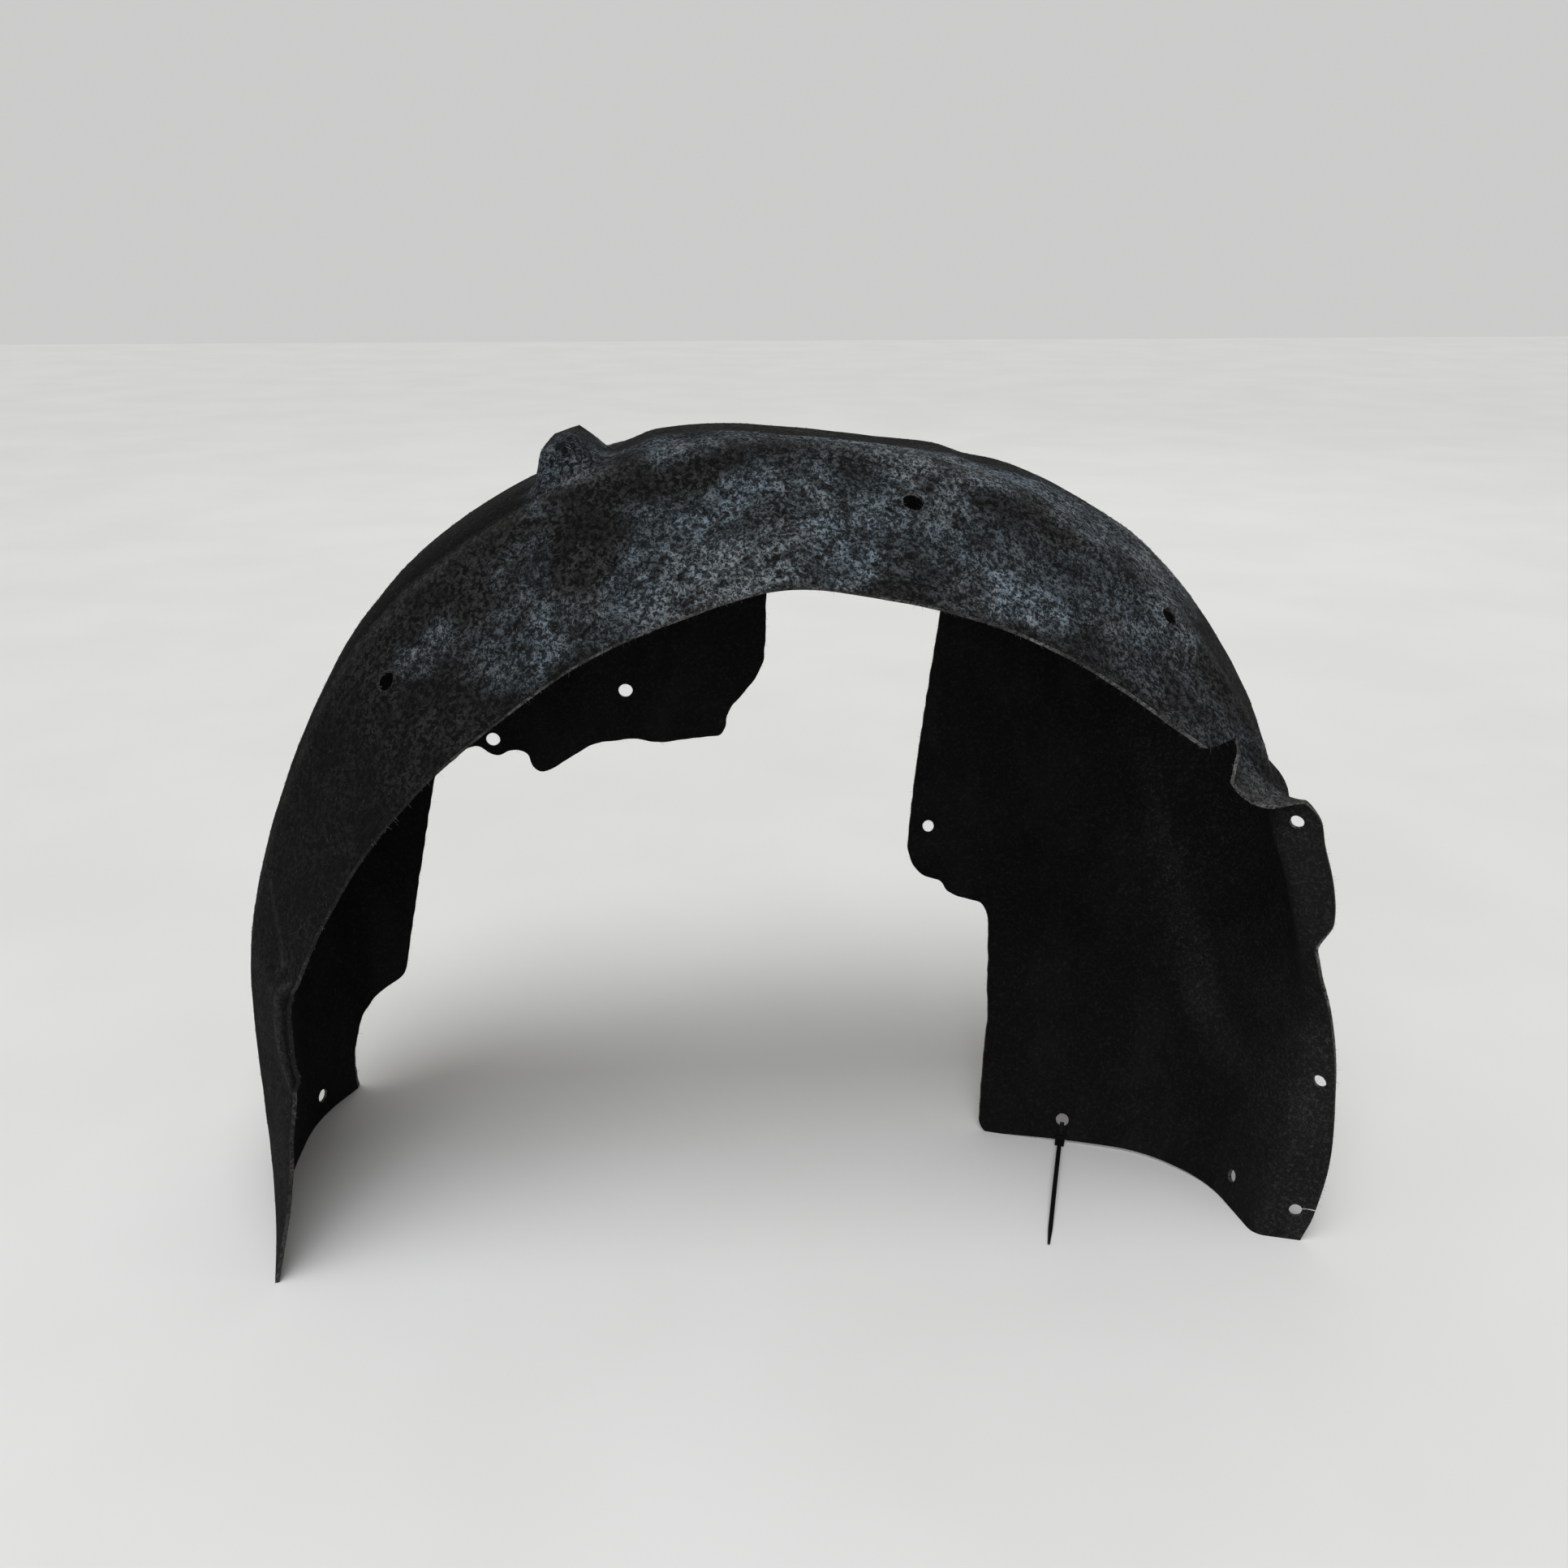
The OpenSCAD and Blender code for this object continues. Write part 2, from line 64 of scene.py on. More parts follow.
class Wire:
    """One output of a shader node, on which arithmetic adds Math nodes."""

    def __init__(self, graph: "Nodes", socket: bpy.types.NodeSocket) -> None:
        """Keeps the tree and the socket.

        Args:
            graph: The tree that the socket is in.
            socket: The output socket.
        """
        self.graph = graph
        self.socket = socket

    def __add__(self, other: "Wire | float") -> "Wire":
        """self + other."""
        return self.graph.math("ADD", self, other)

    def __radd__(self, other: float) -> "Wire":
        """other + self."""
        return self.graph.math("ADD", other, self)

    def __sub__(self, other: "Wire | float") -> "Wire":
        """self - other."""
        return self.graph.math("SUBTRACT", self, other)

    def __rsub__(self, other: float) -> "Wire":
        """other - self."""
        return self.graph.math("SUBTRACT", other, self)

    def __mul__(self, other: "Wire | float") -> "Wire":
        """self * other."""
        return self.graph.math("MULTIPLY", self, other)

    def __rmul__(self, other: float) -> "Wire":
        """other * self."""
        return self.graph.math("MULTIPLY", other, self)

    def __abs__(self) -> "Wire":
        """The absolute value."""
        return self.graph.math("ABSOLUTE", self)

    def most(self, other: "Wire | float") -> "Wire":
        """The larger of self and other."""
        return self.graph.math("MAXIMUM", self, other)

    def step(self, low: float, high: float, start: float = 0.0, end: float = 1.0) -> "Wire":
        """A smooth step of this value.

        Args:
            low: Value at which the step starts.
            high: Value at which it is complete.
            start: Result below low.
            end: Result above high.

        Returns:
            The stepped value.
        """
        node = self.graph.add("ShaderNodeMapRange", {"interpolation_type": "SMOOTHSTEP"},
                              {0: self, 1: low, 2: high, 3: start, 4: end})
        return Wire(self.graph, node.outputs[0])


class Nodes:
    """A node tree, to which every node is added by one method."""

    def __init__(self, tree: bpy.types.NodeTree) -> None:
        """Empties the tree.

        Args:
            tree: The tree.
        """
        self.tree = tree
        tree.nodes.clear()

    def add(self, kind: str, settings: dict[str, object] | None = None,
            sockets: dict[str | int, object] | None = None) -> bpy.types.Node:
        """Adds one node.

        Args:
            kind: Type of the node.
            settings: Its own settings, set first.
            sockets: Values or links of its input sockets, by name or index.

        Returns:
            The node.
        """
        node = self.tree.nodes.new(kind)
        for key, value in (settings or {}).items():
            setattr(node, key, value)
        self.feed(node, sockets or {})
        return node

    def feed(self, node: bpy.types.Node, sockets: dict[str | int, object]) -> None:
        """Sets the values and links of a node's input sockets.

        Args:
            node: The node.
            sockets: Values or links, by name or index.
        """
        for key, value in sockets.items():
            if isinstance(value, Wire):
                self.tree.links.new(value.socket, node.inputs[key])
            else:
                node.inputs[key].default_value = value

    def math(self, operation: str, *values: "Wire | float") -> Wire:
        """One Math node.

        Args:
            operation: Its operation.
            values: Its inputs in order.

        Returns:
            Its result.
        """
        node = self.add("ShaderNodeMath", {"operation": operation}, dict(enumerate(values)))
        return Wire(self, node.outputs[0])


class Graph(Nodes):
    """The node tree of one material."""

    def __init__(self, name: str) -> None:
        """Makes the material with one Principled shader.

        Args:
            name: Name of the material.
        """
        self.material = bpy.data.materials.new(name)
        self.material.use_nodes = True
        super().__init__(self.material.node_tree)
        self.shader = self.add("ShaderNodeBsdfPrincipled")
        self.add("ShaderNodeOutputMaterial", {}, {"Surface": Wire(self, self.shader.outputs[0])})
        self.place = Wire(self, self.add("ShaderNodeTexCoord").outputs["Object"])

    def moved(self, scale: Sequence[float] = (1, 1, 1), turn: Sequence[float] = (0, 0, 0),
              shift: Sequence[float] = (0, 0, 0)) -> Wire:
        """The place on the object, turned and stretched.

        Args:
            scale: Factor along each axis.
            turn: Rotation about each axis, in degrees.
            shift: Offset, in metres.

        Returns:
            The new coordinate.
        """
        angles = [math.radians(t) for t in turn]
        node = self.add("ShaderNodeMapping", {}, {
            "Vector": self.place, "Scale": scale, "Rotation": angles, "Location": shift})
        return Wire(self, node.outputs[0])

    def noise(self, size: float, detail: float = 2.0, rough: float = 0.5, bend: float = 0.0,
              at: Wire | None = None) -> Wire:
        """A noise over the object.

        Args:
            size: Size of its features in millimetres.
            detail: Finer layers on top.
            rough: Weight of the finer layers.
            bend: Distortion.
            at: Coordinate, where it isn't the plain place.

        Returns:
            Its value, 0 to 1.
        """
        node = self.add("ShaderNodeTexNoise", {"noise_dimensions": "3D"}, {
            "Vector": at or self.place, "Scale": 1000.0 / size, "Detail": detail, "Roughness": rough,
            "Distortion": bend})
        return Wire(self, node.outputs[0])

    def strands(self, size: float, width: float, turn: Sequence[float], stretch: float, shift: float) -> Wire:
        """Thin curled lines, which read as fibres.

        Args:
            size: Size of the curls in millimetres.
            width: Width of the lines, as a share of the noise's range.
            turn: Rotation of the lines' main direction, in degrees.
            stretch: How much longer than wide the curls are.
            shift: Offset that makes each layer different, in metres.

        Returns:
            1 on the lines and 0 between them.
        """
        at = self.moved((1, 1 / stretch, 1), turn, (shift, shift, shift))
        away = abs(self.noise(size, 1.0, 0.5, 0.6, at) - 0.5)
        return away.step(0.0, width, 1.0, 0.0)

    def wear_and_light(self) -> tuple[Wire, ...]:
        """The four numbers of pale, painted light and grey that the mesh carries.

        Returns:
            Pale, painted highlight, painted shade and grey.
        """
        node = self.add("ShaderNodeAttribute", {"attribute_type": "GEOMETRY", "attribute_name": WEAR_AND_LIGHT})
        parts = self.add("ShaderNodeSeparateColor", {}, {0: Wire(self, node.outputs["Color"])})
        return (*(Wire(self, socket) for socket in parts.outputs), Wire(self, node.outputs["Alpha"]))

    def blend(self, factor: "Wire | float", first: "Wire | Colour", second: "Wire | Colour") -> Wire:
        """Mixes two colours.

        Args:
            factor: Share of the second.
            first: First colour.
            second: Second colour.

        Returns:
            The mixed colour.
        """
        ends = [c if isinstance(c, Wire) else (*c, 1.0) for c in (first, second)]
        node = self.add("ShaderNodeMix", {"data_type": "RGBA"}, {0: factor, 6: ends[0], 7: ends[1]})
        return Wire(self, node.outputs[2])

    def finish(self, colour: Wire, roughness: "Wire | float", height: Wire | None = None, depth: float = 0.3,
               **fixed: float) -> bpy.types.Material:
        """Feeds the shader.

        Args:
            colour: Base colour.
            roughness: Roughness.
            height: Height of the relief, 0 to 1.
            depth: Depth of the relief in millimetres.
            fixed: Constants of other sockets, with _ for a space in the name.

        Returns:
            The material.
        """
        values: dict[str | int, object] = {"Base Color": colour, "Roughness": roughness}
        if height is not None:
            bump = self.add("ShaderNodeBump", {}, {"Height": height, "Distance": depth * MM, "Strength": 1.0})
            values["Normal"] = Wire(self, bump.outputs[0])
        values.update({key.replace("_", " "): value for key, value in fixed.items()})
        self.feed(self.shader, values)
        return self.material


# Form of the sheet ----------------------------------------------------------------------------------


@dataclass(frozen=True)
class Curve:
    """A smooth curve through (station, value) pairs that never swings past its own values."""

    keys: tuple[Pair, ...]

    def slope(self, i: int) -> float:
        """Slope from pair i to the next."""
        return (self.keys[i + 1][1] - self.keys[i][1]) / (self.keys[i + 1][0] - self.keys[i][0])

    def tangent(self, i: int) -> float:
        """Slope of the curve at pair i.

        Args:
            i: Number of the pair.

        Returns:
            The slope.
        """
        if i == 0:
            return self.slope(0)
        if i == len(self.keys) - 1:
            return self.slope(i - 1)
        p, q = self.slope(i - 1), self.slope(i)
        return 0.0 if p * q <= 0 else 2 * p * q / (p + q)

    def at(self, station: float) -> float:
        """Value at a station.

        Args:
            station: Where to read the curve.

        Returns:
            The value.
        """
        i = 0
        while i < len(self.keys) - 2 and station >= self.keys[i + 1][0]:
            i += 1
        h = self.keys[i + 1][0] - self.keys[i][0]
        t = (station - self.keys[i][0]) / h
        ease = t * t * (3 - 2 * t)
        pull = self.tangent(i) * (t - 2 * t * t + t ** 3) - self.tangent(i + 1) * (t * t - t ** 3)
        return self.keys[i][1] * (1 - ease) + self.keys[i + 1][1] * ease + h * pull


def above(base: float, pairs: Iterable[Pair]) -> Curve:
    """A curve whose values are given as steps from a base.

    Args:
        base: The base.
        pairs: Pairs of station and step.

    Returns:
        The curve.
    """
    return Curve(tuple((station, base + step) for station, step in pairs))


def rise(t: float) -> float:
    """A smooth step from 0 at 0 to 1 at 1."""
    c = max(0.0, min(1.0, t))
    return c * c * (3 - 2 * c)


def plateau(x: float, start: float, end: float, edge: float) -> float:
    """1 between start and end, with smooth edges inside them."""
    return rise((x - start) / edge) * rise((end - x) / edge)


def bell(off: float, half: float) -> float:
    """1 at 0, falling away on both sides."""
    return math.exp(-(off / half) ** 2)


def bow(into: Vector, corner: Vector, leave: Vector, t: float) -> Vector:
    """The point at t, from 0 to 1, of a curve that rounds off a corner."""
    return into * (1 - t) ** 2 + corner * (2 * t * (1 - t)) + leave * t * t


class Stretch(Enum):
    """The four stretches of a section, from the lip to the wall's end."""

    BAND = 0
    SHELF = 1
    TREAD = 2
    WALL = 3


@dataclass(frozen=True)
class Spot:
    """A place on the sheet: a station, a stretch and the distance along it in millimetres."""

    station: float
    stretch: Stretch
    along: float


@dataclass
class SheetForm:
    """The moulded shape of the liner, in millimetres and in the frame of the wheel axis."""

    thickness: float = 3.0
    axis_height: float = 140.0
    leg_step: float = 7.0
    lip_radius: float = 373.0
    ridge_rise: float = 88.0
    ridge_depth: float = 100.0
    tread_rise: float = 4.0
    wall_depth: float = 302.0
    tab_height: float = 24.0
    tab_span: Pair = (65.0, 72.3)
    tab_sides: Pair = (2.8, 2.2)
    tab_edge: float = 34.0
    panel_height: float = 5.0
    panel_span: Pair = (73.0, 108.0)
    panel_side: float = 4.0
    panel_edge: float = 22.0
    pad_height: float = 4.0
    pad_radius: float = 34.0
    middle: Vector = field(default_factory=lambda: Vector((-17.757, 149.568, 0.0)))
    pads: tuple[Spot, ...] = (Spot(45.9, Stretch.BAND, 86), Spot(98.9, Stretch.BAND, 82),
                              Spot(127, Stretch.BAND, 92))
    dent_at: float = 9.3
    dent_half: float = 6.2
    dent_reach: float = 18.0
    dent_side: float = 0.4
    dent_depth: float = 5.0
    dashes: tuple[Pair, ...] = ((-70.5, 9), (-20.5, 17), (25, 18), (80, 10))
    dash_y: float = 150.0
    dash_half: float = 5.0
    dash_depth: float = 1.6
    waves: tuple[Pair, ...] = ((0.9, 62), (0.35, 21), (0.12, 7))

    def __post_init__(self) -> None:
        """Makes the curves of the section's corners and bends."""
        self.foot = foot = self.axis_height / self.leg_step
        self.end = end = 180 + foot
        lip = self.lip_radius
        ridge = lip + self.ridge_rise
        self.tread_top = tread = ridge + self.tread_rise
        self.lip = above(lip, (
            (-foot, 32), (-8, 12.8), (-2, 8), (3, 2.5), (5.5, 6.5), (10, 11.5), (13.5, 14.5), (16, 7),
            (24, 1), (40, -6), (53, -9), (63, -5), (75, 0), (87, 8), (97, 2), (108, -1), (124, -4),
            (130, -3), (137, 2), (141, -1), (143, 2), (144.7, 10), (146.5, 34), (149, 36), (152, 31),
            (157, 26), (161, 19), (163.5, 4), (166.5, 4), (171, 8), (180, 15), (189, 19), (end - 3, 11),
            (end, 3)))
        self.ridge = above(ridge, (
            (-foot, -37), (0, -35), (10, -31), (20, -27), (29, -22), (37, -14), (45, -6), (62, 2), (78, 8),
            (90, 2), (102, -5), (123, -25), (129, -30), (134, -38), (139, -44), (143, -52), (148, -76),
            (150, -82), (162, -89), (180, -91), (end, -117)))
        self.ridge_y = above(0, (
            (-foot, 90), (0, 95), (90, 100), (123, 95), (134, 82), (140, 68), (144, 45), (148, 16), (180, 20),
            (end, 10)))
        self.swell = above(tread, (
            (-foot, -38), (0, -38), (12, -30), (20, -26), (29, -20), (37, -12), (45, -3), (53, 2), (70, 1),
            (80, -4), (90, -17), (97, -20), (104, -17), (113, -9), (123, -9), (131, -15), (135, -20),
            (140, -27), (147, -36), (151, -44), (154, -37), (157, -54), (162, -62), (165, -66), (180, -105),
            (end, -134)))
        self.swell_y = above(165, (
            (-foot, -15), (0, -15), (90, 0), (123, 0), (147, -5), (155, -25), (165, -55), (180, -80),
            (end, -85)))
        self.corner = above(tread, (
            (-foot, -41), (0, -39), (20, -26), (37, -11), (53, -2), (70, -4), (90, -20), (97, -23),
            (104, -19), (113, -10), (123, -10), (147, -34), (160, -50), (180, -120), (end, -177)))
        self.corner_y = above(0, (
            (-foot, 225), (0, 245), (30, 302), (123, 302), (147, 285), (160, 240), (180, 150), (end, 124)))
        self.wall = Curve((
            (-foot, tread - 80), (0, tread - 145), (20, tread - 175), (45, tread - 240),
            (60, tread - 285), (80, tread - 285), (110, tread - 210), (130, 126), (147, 100),
            (160, 100), (180, 110), (end, 120)))
        self.wall_y = above(0, (
            (-foot, 302), (0, 287), (30, 302), (115, 302), (147, 265), (160, 245), (180, 245), (end, 184)))
        self.bends = (
            above(0, ((-foot, 18), (60, 16), (123, 17), (133, 14), (147, 8), (end, 8))),
            above(0, ((-foot, 28), (end, 28))),
            above(0, ((-foot, 34), (45, 58), (150, 58), (end, 42))))
        self.pad_centres = [self.spot(p) for p in self.pads]

    def place(self, station: float, radius: float, depth: float) -> Vector:
        """A point at a station.

        Args:
            station: The station.
            radius: Distance from the axis.
            depth: Distance behind the lip.

        Returns:
            The point.
        """
        turn = math.radians(max(0.0, min(180.0, station)))
        height = self.axis_height + self.leg_step * (min(station, 0) + min(180 - station, 0))
        return Vector((-math.cos(turn) * radius, depth, height + math.sin(turn) * radius))

    def corners(self, station: float) -> list[Vector]:
        """The five corner points of a section.

        Args:
            station: The station.

        Returns:
            Points of radius and depth.
        """
        return [Vector((self.lip.at(station), 0.0)),
                Vector((self.ridge.at(station), self.ridge_y.at(station))),
                Vector((self.swell.at(station), self.swell_y.at(station))),
                Vector((self.corner.at(station), self.corner_y.at(station))),
                Vector((self.wall.at(station), self.wall_y.at(station)))]

    def section(self, station: float, straight: Sequence[int], bend: int) -> list[Vector]:
        """The rounded line of a section.

        Args:
            station: The station.
            straight: Rows on each of the four stretches.
            bend: Rows on each bend.

        Returns:
            Points of radius and depth.
        """
        p = self.corners(station)
        lengths = [(p[i + 1] - p[i]).length for i in range(4)]
        units = [(p[i + 1] - p[i]) / lengths[i] for i in range(4)]
        cuts = [0.0] + [min(self.bends[i].at(station), 0.45 * lengths[i], 0.45 * lengths[i + 1])
                        for i in range(3)] + [0.0]
        into = [p[0]] + [p[i] - units[i - 1] * cuts[i] for i in range(1, 5)]
        leave = [p[i] + units[i] * cuts[i] for i in range(4)] + [p[4]]
        line: list[Vector] = []
        for i in range(1, 5):
            count = straight[i - 1]
            line += [leave[i - 1].lerp(into[i], k / count) for k in range(count)]
            if i < 4:
                line += [bow(into[i], p[i], leave[i], k / bend) for k in range(bend)]
        return line + [p[4]]

    def spot(self, where: Spot, step: float = 0.0, slide: float = 0.0) -> Vector:
        """The point of a spot.

        Args:
            where: The spot.
            step: Added to its station.
            slide: Added to its distance along the stretch.

        Returns:
            The point.
        """
        c = self.corners(where.station + step)
        first, second = c[where.stretch.value], c[where.stretch.value + 1]
        q = first + (second - first).normalized() * (where.along + slide)
        return self.place(where.station + step, q[0], q[1])

    def normal(self, where: Spot) -> Vector:
        """The sheet's outward normal at a spot.

        Args:
            where: The spot.

        Returns:
            A unit vector.
        """
        across = self.spot(where, step=1) - self.spot(where, step=-1)
        along = self.spot(where, slide=1) - self.spot(where, slide=-1)
        return across.cross(along).normalized()

    def lift(self, station: float, p: Vector) -> float:
        """How far the outer face stands out of the plain form: tab, panel, pads, hollow and dashes.

        Args:
            station: The station.
            p: The point on the plain form.

        Returns:
            The lift along the normal.
        """
        start, end = self.tab_span
        high = self.tab_height * rise((station - start) / self.tab_sides[0]) \
            * rise((end - station) / self.tab_sides[1]) \
            * plateau(p.y, self.ridge_depth + 4, self.wall_depth - 60, self.tab_edge)
        high += self.panel_height * plateau(station, *self.panel_span, self.panel_side) \
            * plateau(p.y, self.ridge_depth + 22, self.wall_depth - 6, self.panel_edge)
        pad = 0.0
        for centre in self.pad_centres:
            q = (p - centre).length / self.pad_radius
            if q < 1:
                pad = max(pad, self.pad_height * (1 - q * q) ** 2)
        high += pad
        high -= self.dent_depth * rise((1 - self.in_hollow(station, p) ** 2) / self.dent_side)
        for x, half in self.dashes:
            q = ((p.x - x) / half) ** 2 + ((p.y - self.dash_y) / self.dash_half) ** 2
            if q < 1:
                high -= self.dash_depth * (1 - q)
        return high

    def in_hollow(self, station: float, p: Vector) -> float:
        """Distance from the middle of the left leg's hollow, as a share of its size."""
        return math.hypot((station - self.dent_at) / self.dent_half, p.y / self.dent_reach)

    def hand(self, p: Vector) -> float:
        """The slight waviness of pressed felt at a point, in millimetres."""
        return sum(height * noise.noise(p / length) for height, length in self.waves)

    def metres(self, p: Vector) -> Vector:
        """A point in the shared frame, in metres."""
        return (p - self.middle) * MM


@dataclass
class Fineness:
    """How finely the sheet's grid is divided."""

    left_leg: int = 34
    hollow: int = 48
    arch: int = 150
    right_leg: int = 26
    shoulder: int = 84
    haunch: int = 20
    straight: tuple[int, ...] = (30, 9, 12, 20)
    bend: int = 7

    def stations(self, foot: float) -> list[float]:
        """The stations of the grid.

        Args:
            foot: Stations in a leg.

        Returns:
            The stations in order.
        """
        runs = ((-foot, 0, self.left_leg), (0, 20, self.hollow), (20, 136, self.arch),
                (136, 166, self.shoulder), (166, 180, self.haunch), (180, 180 + foot, self.right_leg))
        line = [start + (end - start) * i / count for start, end, count in runs for i in range(count)]
        return line + [180 + foot]


# Finishes -------------------------------------------------------------------------------------------


@dataclass(frozen=True)
class Patch:
    """A place where pale fibres show through the dark ones, with reaches in millimetres."""

    start: Spot
    end: Spot
    inner: float
    outer: float
    strength: float


@dataclass
class WearAndLightMap:
    """Where the felt is pale, where highlights and shade are painted on it, and how grey it is, as four numbers
    at each point of the sheet.

    Spans are in stations, and reaches and halves in millimetres.
    """

    form: SheetForm
    patches: tuple[Patch, ...]
    sways: tuple[Pair, ...] = ((24, 34), (11, 13))
    shoulder: float = 125.0
    # Painted highlights: a pale line on the ridge, painted light in the scoop, a thin line on the hollow's rim
    # and a line along the fold.
    ridge_pales: Pair = (0.50, 0.75)
    ridge_halves: Pair = (6.0, 5.0)
    scoop_span: Pair = (139.0, 150.0)
    scoop_reach: float = 30.0
    scoop_pale: float = 0.9
    rim_at: float = 1.03
    rim_half: float = 0.12
    fold: tuple[Pair, ...] = ((15.7, 24), (17.6, 38), (18.9, 56), (20.5, 74))
    fold_end: float = 21.0
    fold_half: float = 4.5
    fold_pale: float = 0.45
    # Painted light on the wheel side: a highlight streak down the right panel, the lit flange, the right part
    # of the panel, weaker towards the bottom, and lines along the flange's creases; the low right corner is
    # paler too.
    streak_x: float = 304.0
    streak_top: float = 330.0
    streak_lean: float = 0.17
    streak_half: float = 15.0
    streak_heights: Pair = (70.0, 345.0)
    streak_pale: float = 1.45
    flange_pale: float = 0.56
    panel_pale: float = 0.62
    corner_pale: float = 1.2
    creases: tuple[Pair, ...] = ((-5.0, 0.55), (13.0, 0.75))
    crease_span: Pair = (158.0, 184.0)
    crease_half: float = 1.6

    def __post_init__(self) -> None:
        """Finds the middle lines of the patches, the fold and the level of grey along the sheet."""
        form = self.form
        self.lines = [(form.spot(patch.start), form.spot(patch.end)) for patch in self.patches]
        self.fold_line = Curve(self.fold)
        self.level = Curve((
            (-form.foot, 0.58), (2, 0.52), (18, 0.44), (26, 0.30), (35, 0.30), (46, 0.64), (56, 0.84),
            (64, 0.92), (100, 0.92), (118, 1.06), (form.end, 1.06)))

    def pale(self, p: Vector) -> float:
        """How strongly the pale fibres show at a point.

        Args:
            p: The point.

        Returns:
            0 to 1.
        """
        sway = sum(reach * noise.noise(p / size) for reach, size in self.sways)
        best = 0.0
        for patch, (start, end) in zip(self.patches, self.lines):
            run = end - start
            share = max(0.0, min(1.0, (p - start).dot(run) / max(run.length_squared, 1.0)))
            away = (p - start - run * share).length + sway
            best = max(best, patch.strength * rise((patch.outer - away) / (patch.outer - patch.inner)))
        return best

    def painted_highlight(self, station: float, p: Vector) -> float:
        """Painted highlight: how far the ridge, the scoop, the hollow's rim and the fold are painted pale.

        Args:
            station: The station.
            p: The point.

        Returns:
            0 to 1.
        """
        behind = p.y - self.form.ridge_y.at(station)
        part = 0 if station < self.shoulder else 1
        # Painted highlight along the ridge, painted light in the scoop, and a thin painted light line on the
        # hollow's rim.
        ridge = self.ridge_pales[part] * bell(behind, self.ridge_halves[part])
        scoop = plateau(station, *self.scoop_span, 4) * rise((self.scoop_reach - p.y) / 25)
        best = max(ridge * (0.5 + abs(noise.noise(p / 33))),
                   self.scoop_pale * scoop * (0.6 + 0.6 * abs(noise.noise(p / 9))),
                   bell(self.form.in_hollow(station, p) - self.rim_at, self.rim_half) * rise((p.y - 2) / 7))
        # Painted highlight along the fold above the hollow.
        if self.fold[0][0] < station < self.fold_end and p.y > self.fold[0][1]:
            best = max(best, self.fold_pale * bell(p.y - self.fold_line.at(station), self.fold_half))
        return min(1.0, best)

    def shade(self, station: float, p: Vector) -> float:
        """Painted shade: how much darker the felt is painted behind the ridge on the left, and in the hollow of
        the left leg.

        Args:
            station: The station.
            p: The point.

        Returns:
            0 to 1.
        """
        behind = p.y - self.form.ridge_y.at(station)
        # Painted shade: a dark strip with a groove line behind the ridge, fading towards the right and further
        # back, and the dark hollow.
        close = 0.72 * rise((behind - 3) / 6) + 0.28 * plateau(behind, 3, 34, 11)
        left = 1.0 - 0.84 * rise((station - 58) / 34)
        front = 1.0 - 0.7 * rise((behind - 45) / 60)
        hollow = rise((1.0 - self.form.in_hollow(station, p)) / 0.10)
        return max(close * left * front, hollow)

    def at(self, station: float, p: Vector) -> WearAndLight:
        """The four numbers of the outer face at a point."""
        return self.pale(p), self.painted_highlight(station, p), self.shade(station, p), self.level.at(station)

    def within(self, station: float, p: Vector) -> WearAndLight:
        """The four numbers of the wheel side at a point.

        Args:
            station: The station.
            p: The point.

        Returns:
            Dust and painted light, nothing, and the painted shade and grey that the cut edge takes over from
            the outer face, with more painted shade on the flange's edge.
        """
        sway = 0.8 + 0.5 * noise.noise(p / 40)
        # Painted highlight streak down the right panel.
        aside = p.x - self.streak_x - self.streak_lean * (self.streak_top - p.z)
        streak = self.streak_pale * sway * bell(aside, self.streak_half) \
            * plateau(p.z, *self.streak_heights, 60)
        past = p.y - self.form.ridge_y.at(station)
        # Painted light on the flange, on the right part of the panel and along the flange's creases.
        flange = self.flange_pale * rise((station - 146) / 2) * rise((6 - past) / 8)
        right = rise((p.x - 225) / 120) * rise((station - 100) / 20)
        panel = self.panel_pale * right * sway * (0.15 + 0.85 * rise((p.z - 90) / 150))
        low = rise((p.x - 335) / 45) * rise((280 - p.z) / 130) * rise((station - 160) / 8)
        lines = [strength * bell(past - off, self.crease_half) * plateau(station, *self.crease_span, 8)
                 for off, strength in self.creases]
        dust_and_light = max(streak, flange, panel, self.corner_pale * sway * low, *lines)
        # Painted shade on the flange's cut edge, on top of the shade taken over from the outer face.
        rim = max(self.shade(station, p), 0.8 * rise((station - 149) / 4))
        return min(1.0, dust_and_light), 0.0, rim, self.level.at(station)


